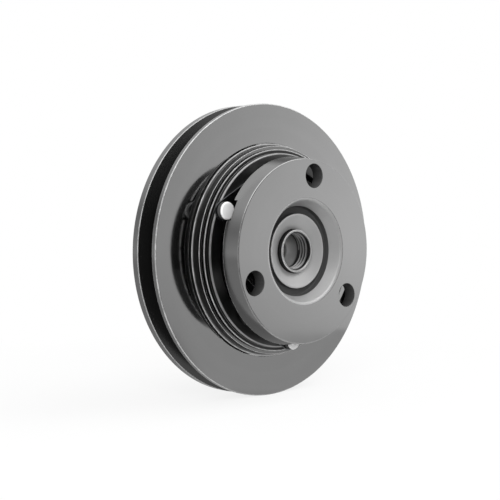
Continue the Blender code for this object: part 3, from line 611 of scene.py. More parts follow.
STACK_EDGE = 0.25 * MM
LEDGE_LINE = 0.65 * MM
ROTOR_STEP_HEIGHT = 1.7 * MM
FRICTION_STEP_WIDTH = 1.4 * MM
FRICTION_PLATE_THICKNESS = 6.1 * MM
OUTER_POLE_WALL = 4.8 * MM
INNER_POLE_WALL = 4.7 * MM
ROTOR_LIP_HEIGHT = 2.3 * MM
CLIP_GROOVE_DEPTH = 1.7 * MM
CLIP_GAP = 0.15 * MM
POLE_END = 2.2 * MM
ROTOR_SLOT_COUNT = 4
ROTOR_SLOT_WIDTH = 3.0 * MM
ROTOR_SLOT_SPAN = radians(66)


def mark_ledge(piece, inner, outer, level):
    """Mark a turned ledge's outer corner as rubbed edge, and paint shade on the rest of it, up to its wall,
    by marking it dark.
    """
    low = level - ROUND_SHARE * STACK_EDGE
    high = level + WELD_DISTANCE
    rest = outer - LEDGE_LINE + WELD_DISTANCE
    mark(piece, "edge", inner=outer - STACK_EDGE - WELD_DISTANCE, low=low, high=high)
    mark(piece, "dark", inner=inner - WELD_DISTANCE, outer=rest, low=low, high=high)


def mark_wall(piece, wall, low=-inf, high=inf):
    """Paint shade on a turned wall by marking it dark, short of the rounds at its ends."""
    mark(piece, "dark", inner=wall - WELD_DISTANCE, outer=wall + WELD_DISTANCE, low=low, high=high)


def clip_groove(node):
    """Rear and front height of the groove that holds a snap ring."""
    rear, front = heights(node)
    return rear - CLIP_GAP, front + CLIP_GAP


def make_rotor():
    """The stepped friction ring with its slots, poles and bearing seat."""
    outer = outer_radius("rotor")
    rear, front = heights("rotor")
    step = outer - FRICTION_STEP_WIDTH
    groove_rear, groove_front = clip_groove("rotor_snap_ring")
    plate_rear = front - FRICTION_PLATE_THICKNESS
    bore = outer_radius("bearing_outer_ring") + SEAT_GAP
    groove = bore + CLIP_GROOVE_DEPTH
    lip = bore - ROTOR_LIP_HEIGHT
    inner_pole = bore + INNER_POLE_WALL
    pole_rear = groove_rear - POLE_END
    outer_bore = outer - OUTER_POLE_WALL
    corners = [
        (step, front, STACK_EDGE),
        (step, ROTOR_STEP_HEIGHT, EDGE / 2),
        (outer, ROTOR_STEP_HEIGHT, STACK_EDGE),
        (outer, rear, EDGE),
        (outer_bore, rear, EDGE),
        (outer_bore, plate_rear, 3 * EDGE),
        (inner_pole, plate_rear, 3 * EDGE),
        (inner_pole, pole_rear, EDGE),
        (bore, pole_rear, EDGE),
        (bore, groove_rear, 0),
        (groove, groove_rear, 0),
        (groove, groove_front, 0),
        (bore, groove_front, 0),
        (bore, plate_rear, 0),
        (lip, plate_rear, EDGE),
        (lip, front, EDGE),
    ]
    rotor = revolve("rotor_ring", corners)
    slots = [
        bent_slot((outer_bore + inner_pole) / 2, ROTOR_SLOT_WIDTH, angle, ROTOR_SLOT_SPAN)
        for angle in around(ROTOR_SLOT_COUNT, 0)
    ]
    tool = flat_solid("rotor_slot_tool", slots, plate_rear - CUT_MARGIN, front + CUT_MARGIN)
    combine(rotor, [tool], "DIFFERENCE")
    # Painted shade on the rotor's stepped ledge and on the walls of its steps
    mark_ledge(rotor, step, outer, ROTOR_STEP_HEIGHT)
    mark_wall(rotor, outer, 0, ROTOR_STEP_HEIGHT)
    mark_wall(rotor, step, ROTOR_STEP_HEIGHT, front)
    finish_piece(rotor, "pulley", "rotor_steel", "rotor")


# Armature, its rivets, leaf springs and screws

ARMATURE_STEP_HEIGHT = 1.05 * MM
ARMATURE_STEP_WIDTH = 1.95 * MM
ARMATURE_ROUND = 0.9 * MM
FACE_PAINTED_SHADE = 0.8
FACE_WEAR = 0.45
ARMATURE_WIDTH = 21.0 * MM
ARMATURE_SLOT_WIDTH = 3.0 * MM
ARMATURE_SLOT_INSET = 10.0 * MM
ARMATURE_SLOT_SPAN = radians(44)
ARMATURE_SLOT_LEAD = radians(37)
RIVET_SHANK_RADIUS = 2.5 * MM
HEAD_GAP = 1.2 * MM
SPRING_COUNT = 3
SPRING_EDGE = 0.15 * MM
SCREW_RADIUS = 2.5 * MM
SCREW_HEAD_HEIGHT = 1.5 * MM
HEX_SOCKET_RADIUS = 2.2 * MM
HEX_SOCKET_DEPTH = 0.9 * MM
HEX_SIDES = 6
RIVET_HEAD_HEIGHT = 3.4 * MM
RIVET_CROWN = 0.25 * MM
RIVET_ROUND = 0.9 * MM
RIVET_FLARE = 0.9 * MM
SCREW_EDGE = 0.25 * MM


def centres(name):
    """Centres of the nodes of one kind, one for each leaf spring."""
    return [middle(f"{name}_{index}") for index in range(1, SPRING_COUNT + 1)]


def make_armature():
    """The stepped armature ring, with slots and holes for rivets and screw heads."""
    outer = outer_radius("armature_plate")
    rear, front = heights("armature_plate")
    step = rear + ARMATURE_STEP_HEIGHT
    face_edge = outer - ARMATURE_STEP_WIDTH
    inner = outer - ARMATURE_WIDTH
    corners = [
        (face_edge, front, ARMATURE_ROUND),
        (face_edge, step, EDGE / 2),
        (outer - LEDGE_LINE, step, 0),
        (outer, step, STACK_EDGE),
        (outer, rear, EDGE / 2),
        (inner, rear, EDGE / 2),
        (inner, front, EDGE),
    ]
    plate = revolve("armature_disc", corners)
    rivets = centres("armature_rivet")
    screws = centres("spring_screw")
    clearance = half_width("spring_screw_1") + HEAD_GAP
    first_rivet = atan2(rivets[0][1], rivets[0][0])
    slots = [
        bent_slot(outer - ARMATURE_SLOT_INSET, ARMATURE_SLOT_WIDTH, angle, ARMATURE_SLOT_SPAN)
        for angle in around(SPRING_COUNT, first_rivet + ARMATURE_SLOT_LEAD)
    ]
    tools = [flat_solid("armature_slot_tool", slots, rear - CUT_MARGIN, front + CUT_MARGIN)]
    tools += [hole_tool(centre, clearance, rear, front, EDGE) for centre in screws]
    tools += [hole_tool(centre, RIVET_SHANK_RADIUS + SEAT_GAP, rear, front, EDGE) for centre in rivets]
    combine(plate, tools, "DIFFERENCE")
    # Painted shade on the armature's ledge and on the walls of its step
    mark_ledge(plate, face_edge, outer, step)
    mark_wall(plate, outer, rear, step)
    mark_wall(plate, face_edge, step, front)
    face = front - WELD_DISTANCE
    face_radius = face_edge - ARMATURE_ROUND / 2
    round_end = front - ROUND_SHARE * ARMATURE_ROUND
    mark(plate, "edge", FACE_WEAR, inner=outer - 2 * ARMATURE_STEP_WIDTH, low=round_end)
    mark(plate, "edge", 0.0, low=face)
    # Painted shade on the front face, which lies under the drive plate
    mark(plate, "dark", FACE_PAINTED_SHADE, outer=face_radius, low=face)
    finish_piece(plate, "armature", "armature_steel", "armature_plate")


def make_rivet(index):
    """A cheese-head rivet, bright zinc on top, with painted shade on its wall."""
    node = f"armature_rivet_{index}"
    rear, front = heights(node)
    head = half_width(node)
    under_head = front - RIVET_HEAD_HEIGHT
    corners = [
        (0, front, 0),
        (head, front - RIVET_CROWN, RIVET_ROUND),
        (head, under_head, SCREW_EDGE),
        (RIVET_SHANK_RADIUS, under_head, 0),
        (RIVET_SHANK_RADIUS, rear + RIVET_FLARE, 0),
        (RIVET_SHANK_RADIUS + RIVET_FLARE, rear, 0),
        (0, rear, 0),
    ]
    rivet = revolve(f"rivet_{index}", corners, SMALL_STEPS, middle(node))
    wall_top = front - RIVET_CROWN - ROUND_SHARE * RIVET_ROUND
    # Painted shade on the wall below the head's crown; the wall also gets no edge wear
    mark(rivet, "dark", high=wall_top)
    mark(rivet, "edge", 0.0, high=wall_top)
    finish_piece(rivet, "armature", "zinc", node)


def make_screw(index):
    """A low-head screw with a hex socket."""
    node = f"spring_screw_{index}"
    rear, front = heights(node)
    head = half_width(node)
    top = rear + SCREW_HEAD_HEIGHT
    corners = [
        (0, front, 0),
        (SCREW_RADIUS, front, SCREW_EDGE),
        (SCREW_RADIUS, top, 0),
        (head, top, SCREW_EDGE),
        (head, rear, 2 * SCREW_EDGE),
        (0, rear, 0),
    ]
    centre = middle(node)
    screw = revolve(f"socket_screw_{index}", corners, SMALL_STEPS, centre)
    socket = circle(HEX_SOCKET_RADIUS, centre, HEX_SIDES)
    tool = flat_solid("socket_tool", [socket], rear - CUT_MARGIN, rear + HEX_SOCKET_DEPTH)
    combine(screw, [tool], "DIFFERENCE")
    finish_piece(screw, "hub", "dark_steel", node)


SPRING_END_RADIUS = 5.0 * MM
SPRING_STEPS = 28


def make_leaf_spring(index):
    """A strap between its rivet and its screw."""
    node = f"leaf_spring_{index}"
    low, high = heights(node)
    start = Vector(middle(f"armature_rivet_{index}"))
    end = Vector(middle(f"spring_screw_{index}"))
    along = (end - start).normalized()
    side = Vector((-along.y, along.x))
    length = (end - start).length
    spine = [start + along * (length * step / SPRING_STEPS) for step in range(SPRING_STEPS + 1)]
    across = side * SPRING_END_RADIUS
    right = atan2(along.y, along.x) - pi / 2
    left = right + pi
    outline = [point - across for point in spine]
    outline += arc(SPRING_END_RADIUS, right, left, SPRING_STEPS // 2, end)[1:-1]
    outline += [point + across for point in reversed(spine)]
    outline += arc(SPRING_END_RADIUS, left, left + pi, SPRING_STEPS // 2, start)[1:-1]
    holes = [
        circle(RIVET_SHANK_RADIUS + SEAT_GAP, start, SPRING_STEPS),
        circle(SCREW_RADIUS + SEAT_GAP, end, SPRING_STEPS),
    ]
    spring = flat_solid(f"leaf_{index}", [outline, *holes], low, high, SPRING_EDGE)
    smooth(spring)
    spring.data.materials.append(FINISHES["spring_steel"])
    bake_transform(spring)
    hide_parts(node)


# Drive plate and hub sleeve

PLATE_DRAFT = 1.4 * MM
PLATE_HEIGHT = 9.8 * MM
PLATE_WEB = 6.8 * MM
PLATE_RIM_WALL = 3.2 * MM
PLATE_EDGE_ROUND = 0.7 * MM
PLATE_REAR_ROUND = 0.6 * MM
RIM_WEAR = 0.4
RIM_WEAR_DEPTH = 0.56 * MM
RELIEF_GAP = 1.0 * MM
RELIEF_DEPTH = 2.6 * MM
PAD_RADIUS = 6.8 * MM
PLATE_HOLE_RADIUS = 6.1 * MM
PLATE_HOLE_PITCH = 38.5 * MM
PLATE_HOLE_ANGLE = radians(82)
HOLE_DULLNESS = 0.4
SCREW_DEPTH = 8.0 * MM
BOSS_RADIUS = 19.0 * MM
BOSS_LAND = 0.8 * MM
BOSS_DROP = 6.2 * MM
BOSS_SLOPE_DEPTH = 3.3 * MM
TROUGH_WIDTH = 4.0 * MM
TROUGH_DEPTH = 3.1 * MM
DISH_DRAFT = 3.0 * MM
DISH_ROUND = 2.0 * MM
DISH_DULLNESS = 0.9
DISH_WALL = 3.2 * MM
BOSS_REAR_STEP = 1.3 * MM
SPIGOT_RADIUS = 10.9 * MM


def make_drive_plate():
    """The dished disc, with three holes, rivet notches and rear pads."""
    rear_radius = outer_radius("drive_plate")
    pad_rear, front = heights("drive_plate")
    rim_rear = front - PLATE_HEIGHT
    web_rear = front - PLATE_WEB
    boss_face = front - BOSS_DROP
    trough = boss_face - TROUGH_DEPTH
    boss_rear = pad_rear + BOSS_REAR_STEP
    bore = SPIGOT_RADIUS + SEAT_GAP
    dish = BOSS_RADIUS + TROUGH_WIDTH
    core = dish + DISH_WALL
    corners = [
        (rear_radius - PLATE_DRAFT, front, PLATE_EDGE_ROUND),
        (rear_radius, rim_rear, PLATE_REAR_ROUND),
        (rear_radius - PLATE_RIM_WALL, rim_rear, EDGE),
        (rear_radius - PLATE_RIM_WALL, web_rear, 3 * EDGE),
        (core, web_rear, 3 * EDGE),
        (core, boss_rear, EDGE),
        (bore, boss_rear, EDGE),
        (bore, boss_face - BOSS_SLOPE_DEPTH, EDGE),
        (BOSS_RADIUS - BOSS_LAND, boss_face, EDGE),
        (BOSS_RADIUS, boss_face, EDGE),
        (BOSS_RADIUS, trough, 2 * EDGE),
        (dish, trough, 2 * EDGE),
        (dish, boss_face, EDGE),
        (dish + DISH_DRAFT, front, DISH_ROUND),
    ]
    plate = revolve("dished_drive_plate", corners)
    screws = centres("spring_screw")
    top = front - PLATE_WEB / 2
    pad = [(0, top, 0), (PAD_RADIUS, top, 0), (PAD_RADIUS, pad_rear, 2 * EDGE), (0, pad_rear, 0)]
    combine(plate, [revolve("pad", pad, SMALL_STEPS, centre) for centre in screws], "UNION")
    screw_hole = SCREW_RADIUS + SEAT_GAP
    low, high = pad_rear - CUT_MARGIN, pad_rear + SCREW_DEPTH
    tools = [round_tool("screw_hole_tool", centre, screw_hole, low, high) for centre in screws]
    relief = half_width("armature_rivet_1") + RELIEF_GAP
    low, high = rim_rear - CUT_MARGIN, rim_rear + RELIEF_DEPTH
    for centre in centres("armature_rivet"):
        tools.append(round_tool("relief_tool", centre, relief, low, high))
    holes = [polar(PLATE_HOLE_PITCH, angle) for angle in around(SPRING_COUNT, PLATE_HOLE_ANGLE)]
    tools += [hole_tool(centre, PLATE_HOLE_RADIUS, web_rear, front, EDGE) for centre in holes]
    combine(plate, tools, "DIFFERENCE")
    face = front - WELD_DISTANCE
    dish_end = dish + DISH_DRAFT + DISH_ROUND
    hole_end = PLATE_HOLE_RADIUS + EDGE / 2
    mark(plate, "edge", RIM_WEAR, inner=core, low=front - RIM_WEAR_DEPTH, high=face)
    mark(plate, "bare", DISH_DULLNESS, outer=dish_end, high=face)
    mark(plate, "edge", 0.0, outer=dish_end, low=boss_face + EDGE)
    # Painted shade in the trough round the boss
    mark(plate, "dark", inner=BOSS_RADIUS - WELD_DISTANCE, outer=dish + EDGE, high=boss_face)
    for centre in holes:
        # Each hole is made duller, and painted shade is put inside it
        mark(plate, "bare", HOLE_DULLNESS, outer=hole_end, centre=centre)
        mark(plate, "dark", outer=hole_end, centre=centre)
    finish_piece(plate, "hub", "drive_plate_finish", "drive_plate")


THREAD_RADIUS = 9.5 * MM
THREAD_DEPTH = 10.0 * MM
THREAD_RELIEF_DEPTH = 0.5 * MM
THREAD_RELIEF_WIDTH = 1.0 * MM
THREAD_PITCH = 1.9 * MM
THREAD_TOOTH = 0.75 * MM
THREAD_ROOT = 0.05 * MM
THREAD_HALF_BASE = 0.36 * THREAD_PITCH
THREAD_HALF_CREST = 0.06 * THREAD_PITCH
THREAD_RUN_IN = 1 / 8
THREAD_WEAR_AND_PAINTED_SHADE = 0.5
THREAD_MOUTH = 0.5 * MM
BOLT_HOLE_RADIUS = 5.5 * MM
BOLT_SEAT_DEPTH = 2.8 * MM
BOLT_WEB = 5.0 * MM
SEAT_DULLNESS_AND_PAINTED_SHADE = 0.55
BOLT_HOLE_EDGE = 0.5 * MM
SHAFT_SMALL_RADIUS = 8.2 * MM
SHAFT_TAPER = 1 / 16
SHOULDER_HEIGHT = 3.0 * MM
KEYWAY_WIDTH = 4.0 * MM
KEYWAY_DEPTH = 2.0 * MM
BEARING_BORE_RADIUS = 17.5 * MM


def make_sleeve():
    """The hub sleeve: threaded mouth, bolt seat, tapered bore and keyway."""
    rear, front = heights("hub_sleeve")
    shoulder_front = heights("drive_plate")[0] + BOSS_REAR_STEP - SEAT_GAP
    shoulder_rear = heights("bearing_inner_ring")[1] + SEAT_GAP
    groove_rear, groove_front = clip_groove("sleeve_snap_ring")
    seat = BEARING_BORE_RADIUS - SEAT_GAP
    groove = seat - CLIP_GROOVE_DEPTH
    thread_end = front - THREAD_DEPTH
    seat_low = thread_end - BOLT_SEAT_DEPTH
    thread_mouth = front - THREAD_MOUTH
    relief = THREAD_RADIUS + THREAD_RELIEF_DEPTH
    relief_top = thread_end + THREAD_RELIEF_WIDTH
    shaft_front = thread_end - BOLT_WEB
    shaft_rear_radius = SHAFT_SMALL_RADIUS + SHAFT_TAPER * (shaft_front - rear)
    shoulder = BEARING_BORE_RADIUS + SHOULDER_HEIGHT
    corners = [
        (SPIGOT_RADIUS, front, EDGE),
        (SPIGOT_RADIUS, shoulder_front, 0),
        (shoulder, shoulder_front, EDGE),
        (shoulder, shoulder_rear, EDGE),
        (seat, shoulder_rear, 0),
        (seat, groove_front, 0),
        (groove, groove_front, 0),
        (groove, groove_rear, 0),
        (seat, groove_rear, 0),
        (seat, rear, 2 * EDGE),
        (shaft_rear_radius, rear, EDGE),
        (SHAFT_SMALL_RADIUS, shaft_front, 0),
        (BOLT_HOLE_RADIUS, shaft_front, EDGE),
        (BOLT_HOLE_RADIUS, seat_low, BOLT_HOLE_EDGE),
        (THREAD_RADIUS, thread_end, 0),
        (relief, thread_end, 0),
        (relief, relief_top, 0),
        (THREAD_RADIUS, relief_top, 0),
        (THREAD_RADIUS, thread_mouth, 0),
        (THREAD_RADIUS + THREAD_MOUTH, front, EDGE / 2),
    ]
    sleeve = revolve("threaded_sleeve", corners)
    half = KEYWAY_WIDTH / 2
    top = shaft_rear_radius + KEYWAY_DEPTH
    keyway = [(-half, 0), (half, 0), (half, top), (-half, top)]
    tool = flat_solid("keyway_tool", [keyway], rear - CUT_MARGIN, shaft_front - KEYWAY_DEPTH)
    combine(sleeve, [tool], "DIFFERENCE")
    inside = relief + EDGE
    mouth = thread_mouth + WELD_DISTANCE
    thread_low = relief_top - WELD_DISTANCE
    lip = BOLT_HOLE_RADIUS + BOLT_HOLE_EDGE
    # Inside the bore: duller metal, and painted shade, full below the bolt seat and in the thread
    mark(sleeve, "bare", SEAT_DULLNESS_AND_PAINTED_SHADE, outer=inside, low=shaft_front, high=mouth)
    mark(sleeve, "dark", SEAT_DULLNESS_AND_PAINTED_SHADE, outer=inside, low=shaft_front, high=mouth)
    mark(sleeve, "dark", outer=inside, low=shaft_front, high=seat_low - EDGE)
    # Painted shade on the spigot's outer wall
    mark_wall(sleeve, SPIGOT_RADIUS)
    mark(sleeve, "bare", 0.0, outer=inside, low=thread_low, high=mouth)
    mark(sleeve, "dark", outer=inside, low=thread_low, high=mouth)
    mark(sleeve, "edge", outer=lip, low=seat_low - BOLT_HOLE_EDGE, high=seat_low + BOLT_HOLE_EDGE)
    finish_piece(sleeve, "hub", "bright_steel", "hub_sleeve")
    make_thread(relief_top, thread_mouth)


def make_thread(low, high):
    """The removal thread: a ridge wound round the inside of the sleeve's mouth."""
    built = bmesh.new()
    edge_layer = built.verts.layers.float.new("edge")
    painted_shade_layer = built.verts.layers.float.new("dark")
    turns = (high - low) / THREAD_PITCH - 1
    count = round(turns * TURN_STEPS / 2)
    tooth = [
        (THREAD_ROOT, -THREAD_HALF_BASE, 0),
        (-THREAD_TOOTH, -THREAD_HALF_CREST, 1),
        (-THREAD_TOOTH, THREAD_HALF_CREST, 1),
        (THREAD_ROOT, THREAD_HALF_BASE, 0),
    ]
    sections = []
    for i in range(count + 1):
        angle = 2 * pi * turns * i / count
        run_in = min(1.0, min(i, count - i) / (count * THREAD_RUN_IN))
        level = low + THREAD_PITCH * (0.5 + turns * i / count)
        section = []
        for rise, offset, edge in tooth:
            lift = rise if rise > 0 else rise * run_in
            x, z = polar(THREAD_RADIUS + lift, angle)
            vertex = built.verts.new((x, FACE_Y - level - offset, z))
            # Rubbed crests, and painted shade: full at the roots, half at the crests
            vertex[edge_layer] = edge * THREAD_WEAR_AND_PAINTED_SHADE
            vertex[painted_shade_layer] = 1 - edge * THREAD_WEAR_AND_PAINTED_SHADE
            section.append(vertex)
        sections.append(section)
    for first, second in zip(sections, sections[1:]):
        for j in range(len(tooth)):
            built.faces.new((first[j - 1], first[j], second[j], second[j - 1]))
    built.faces.new(sections[0])
    built.faces.new(sections[-1][::-1])
    thread = built_piece("removal_thread", built)
    thread.data.shade_smooth()
    thread.data.set_sharp_from_angle(angle=SHARP_ANGLE)
    thread.data.materials.append(FINISHES["bright_steel"])
    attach(thread, "hub")


# Bearing and snap rings

RACE_SHOULDER = 4.18 * MM
RING_EDGE = 0.5 * MM
RACE_GAP = 0.05 * MM
SEAL_LIP = 0.3 * MM


def make_race(name, node, flat, shoulder, ball_centre, body):
    """A bearing ring: a flat side, and a shoulder with a round track for the balls."""
    rear, front = heights(node)
    level = (rear + front) / 2
    track = half_width("bearing_ball_1") + RACE_GAP
    reach = acos(abs(shoulder - ball_centre) / track)
    side = 1 if shoulder > ball_centre else -1
    corners = [(flat, front, RING_EDGE), (flat, rear, RING_EDGE), (shoulder, rear, RING_EDGE)]
    for step in range(2 * ROUND_STEPS + 1):
        x, z = polar(track, reach * (step / ROUND_STEPS - 1))
        corners.append((ball_centre + x * side, level + z, 0))
    corners.append((shoulder, front, RING_EDGE))
    ring = revolve(name, corners)
    finish_piece(ring, body, "bearing_steel", node)


def make_bearing():
    """Rings and seals; balls and cage keep their solids."""
    inner_shoulder = outer_radius("bearing_inner_ring")
    outer_flat = outer_radius("bearing_outer_ring")
    outer_shoulder = outer_flat - RACE_SHOULDER
    ball_centre = hypot(*middle("bearing_ball_1"))
    make_race("inner_race", "bearing_inner_ring", BEARING_BORE_RADIUS, inner_shoulder, ball_centre, "hub")
    make_race("outer_race", "bearing_outer_ring", outer_flat, outer_shoulder, ball_centre, "pulley")
    for place in ("front", "rear"):
        node = f"bearing_seal_{place}"
        section = band(inner_shoulder + SEAT_GAP, outer_radius(node), *heights(node), SEAL_LIP, SEAL_LIP)
        finish_piece(revolve(f"seal_{place}", section), "pulley", "rubber", node)


CLIP_BAND = 3.0 * MM
CLIP_LUG = 2.4 * MM
CLIP_OPENING = radians(40)
CLIP_LUG_SPAN = radians(10)
CLIP_STEPS = 96
LUG_STEPS = 8
EYE_STEPS = 24
CLIP_EDGE = 0.15 * MM
CLIP_EYE_RADIUS = 0.85 * MM


def make_snap_ring(name, node, inner, lugs_out, body):
    """An open ring with an eyed lug at each side of its opening, which faces down."""
    rear, front = heights(node)
    outer = inner + CLIP_BAND
    lug_inner = inner if lugs_out else inner - CLIP_LUG
    lug_outer = outer + CLIP_LUG if lugs_out else outer
    bottom = 3 * pi / 2
    start = bottom + CLIP_OPENING / 2
    end = bottom + 2 * pi - CLIP_OPENING / 2
    body_start = start + CLIP_LUG_SPAN
    body_end = end - CLIP_LUG_SPAN
    outer_from, inner_from = (0, 1) if lugs_out else (1, 0)
    outline = arc(lug_outer, start, body_start, LUG_STEPS)
    outline += arc(outer, body_start, body_end, CLIP_STEPS)[outer_from:]
    outline += arc(lug_outer, body_end, end, LUG_STEPS)[outer_from:]
    outline += arc(lug_inner, end, body_end, LUG_STEPS)
    outline += arc(inner, body_end, body_start, CLIP_STEPS)[inner_from:]
    outline += arc(lug_inner, body_start, start, LUG_STEPS)[inner_from:]
    eye = (lug_inner + lug_outer) / 2
    eyes = [
        circle(CLIP_EYE_RADIUS, polar(eye, angle), EYE_STEPS)
        for angle in (start + CLIP_LUG_SPAN / 2, end - CLIP_LUG_SPAN / 2)
    ]
    ring = flat_solid(name, [outline, *eyes], rear, front, CLIP_EDGE)
    finish_piece(ring, body, "spring_steel", node)


def make_snap_rings():
    """The rings that hold the bearing in place."""
    rotor_outer = outer_radius("bearing_outer_ring") + CLIP_GROOVE_DEPTH
    make_snap_ring("rotor_clip", "rotor_snap_ring", rotor_outer - CLIP_BAND, False, "pulley")
    sleeve_inner = BEARING_BORE_RADIUS - CLIP_GROOVE_DEPTH
    make_snap_ring("sleeve_clip", "sleeve_snap_ring", sleeve_inner, True, "hub")


# Field coil

HOUSING_BORE_RADIUS = 36.5 * MM
HOUSING_INNER_WALL = 2.5 * MM
HOUSING_OUTER_WALL = 2.7 * MM
HOUSING_BACK = 3.5 * MM
MOUNT_PLATE_BORE_RADIUS = 22.0 * MM
MOUNT_HOLE_RADIUS = 3.5 * MM
MOUNT_HOLE_INSET = 7.5 * MM
MOUNT_HOLE_COUNT = 4
LOCATING_HOLE_RADIUS = 2.5 * MM
GROMMET_BORE_RADIUS = 1.5 * MM
GROMMET_NECK = 0.5 * MM
PLATE_ROUND = 0.6 * MM


def make_field():
    """The coil's shell, mounting plate and lead collar."""
    outer = outer_radius("coil_housing")
    rear, front = heights("coil_housing")
    window_inner = HOUSING_BORE_RADIUS + HOUSING_INNER_WALL
    window_outer = outer - HOUSING_OUTER_WALL
    window_floor = rear + HOUSING_BACK
    corners = [
        (outer, front, EDGE),
        (outer, rear, 2 * EDGE),
        (HOUSING_BORE_RADIUS, rear, EDGE),
        (HOUSING_BORE_RADIUS, front, EDGE),
        (window_inner, front, EDGE),
        (window_inner, window_floor, EDGE),
        (window_outer, window_floor, EDGE),
        (window_outer, front, EDGE),
    ]
    housing = revolve("coil_shell", corners)
    grommet = middle("lead_grommet")
    lead_hole = half_width("lead_grommet") + SEAT_GAP
    tool = round_tool("lead_tool", grommet, lead_hole, rear - CUT_MARGIN, window_floor + CUT_MARGIN)
    combine(housing, [tool], "DIFFERENCE")
    finish_piece(housing, "field", "field_steel", "coil_housing")

    low, high = heights("mounting_plate")
    corners = band(MOUNT_PLATE_BORE_RADIUS, outer, low, high, EDGE, PLATE_ROUND)
    plate = revolve("mounting_flange", corners)
    pitch = MOUNT_PLATE_BORE_RADIUS + MOUNT_HOLE_INSET
    tools = []
    for angle in around(MOUNT_HOLE_COUNT, pi / MOUNT_HOLE_COUNT):
        tools.append(hole_tool(polar(pitch, angle), MOUNT_HOLE_RADIUS, low, high, EDGE))
    tools.append(hole_tool((0, -grommet[1]), LOCATING_HOLE_RADIUS, low, high, EDGE))
    tools.append(hole_tool(grommet, lead_hole, low, high, EDGE))
    combine(plate, tools, "DIFFERENCE")
    finish_piece(plate, "field", "field_steel", "mounting_plate")

    low, high = heights("lead_grommet")
    corners = band(GROMMET_BORE_RADIUS, half_width("lead_grommet"), low, high, 0, GROMMET_NECK)
    collar = revolve("lead_collar", corners, SMALL_STEPS, grommet)
    finish_piece(collar, "field", "rubber", "lead_grommet")


def dress_inner_nodes():
    """The pieces sealed inside keep their solids and get their finishes."""
    slots = {
        "coil_bobbin": "bobbin_plastic",
        "coil_winding": "copper",
        "coil_cover": "resin",
        "bearing_cage": "cage_plastic",
    }
    for name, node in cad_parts.items():
        slot = "bearing_steel" if name.startswith("bearing_ball") else slots.get(name)
        if slot:
            for place in node.material_slots:
                place.material = FINISHES[slot]


make_sheave()
make_rotor()
make_armature()
for index in range(1, SPRING_COUNT + 1):
    make_rivet(index)
    make_screw(index)
    make_leaf_spring(index)
make_drive_plate()
make_sleeve()
make_bearing()
make_snap_rings()
make_field()
dress_inner_nodes()


# Floor, light and camera

# The camera, fitted to the photograph
CAMERA_AZIMUTH = radians(-42.95)
CAMERA_ELEVATION = radians(2.2)
CAMERA_DISTANCE = 0.52247
CAMERA_ASIDE = -0.0110
LENS = 72

# The floor as it is lit, as the camera sees it, and as the metal mirrors it in the open and in shade
FLOOR_RADIUS = 0.30
FLOOR_LEVEL = 0.66
FLOOR_ROUGHNESS = 0.8
FLOOR_SEEN = ((0.10, 0.28), (0.84, 1.0))
FLOOR_MIRRORED = ((0.0, 1.0), (0.52, 0.06))

# Where that floor changes: azimuth, places along it in metres, and the levels there
FLOOR_SHADE = (radians(-55), (0.028, 0.058), (0.0, 1.0))
FLOOR_FRONT_SHADE = (0.0, (0.03, 0.08), (0.0, 1.0))
FLOOR_LEFT = (CAMERA_AZIMUTH - pi / 2, (-0.02, 0.06), (1.0, 0.6))

# The walls, white behind the object and dim behind the camera: azimuth, cosines from it, and the levels there
ROOM = (CAMERA_AZIMUTH, (0.445, -0.035), (0.0, 1.0))
SIDE_DIM = (radians(-122), (0.3, 0.9), (1.0, 0.40))
SIDE_FILL = (radians(-122), (0.80, 0.95), (0.12, 0.42))
DARK_FLAG = (radians(-25), (0.80, 0.95), (1.0, 0.25))
BEHIND = (0.0, (-0.1, 0.4), (1.0, 0.0))

# How the walls dim upwards and downwards, and where ceiling, soft box and ground begin, by elevation's sine
UPPER = ((-0.05, 0.35), (1.0, 0.60))
LOWER = ((-0.03, -0.14), (1.0, 0.72))
CEILING = ((0.30, 0.65), (0.0, 1.0))
SOFT_BOX = ((0.55, 0.70), (0.0, 1.0))
GROUND = ((-0.35, -0.60), (0.0, 1.0))
CEILING_LEVEL = 0.58
SOFT_BOX_LEVEL = 1.6
GROUND_LEVEL = 0.55

# Two soft lamps: azimuth, elevation and power
LAMP_DISTANCE = 1.1
LAMP_SIZE = 0.8
KEY_LAMP = (radians(60), radians(45), 8.0)
FILL_LAMP = (radians(-46), radians(20), 16.0)


def outward(azimuth, elevation=0.0):
    """Unit vector away from the object; azimuth 0 is its front."""
    flat = cos(elevation)
    return Vector((sin(azimuth) * flat, -cos(azimuth) * flat, sin(elevation)))


def fall_off(nodes, direction, azimuth, edge, levels):
    """Brightness that changes with the angle from a horizontal direction, or with the way along it."""
    facing = nodes.vector_math("DOT_PRODUCT", direction, outward(azimuth))["Value"]
    return nodes.ramp(facing, edge, levels)


def studio_level(nodes, direction):
    """Brightness of the studio's walls all round."""
    walls = (ROOM, SIDE_DIM, SIDE_FILL, DARK_FLAG)
    room, dim, fill, flag = (fall_off(nodes, direction, *wall) for wall in walls)
    return nodes.times(nodes.math("MAXIMUM", nodes.times(room, dim), fill), flag)


def floor_mirrored(nodes, place):
    """Painted brightness of the floor in the metal: shade painted at the front left, dimmer to the camera's
    left.
    """
    side, front, left = (fall_off(nodes, place, *run) for run in (FLOOR_SHADE, FLOOR_FRONT_SHADE, FLOOR_LEFT))
    level = nodes.ramp(nodes.times(side, front), *FLOOR_MIRRORED)
    return nodes.times(level, left)


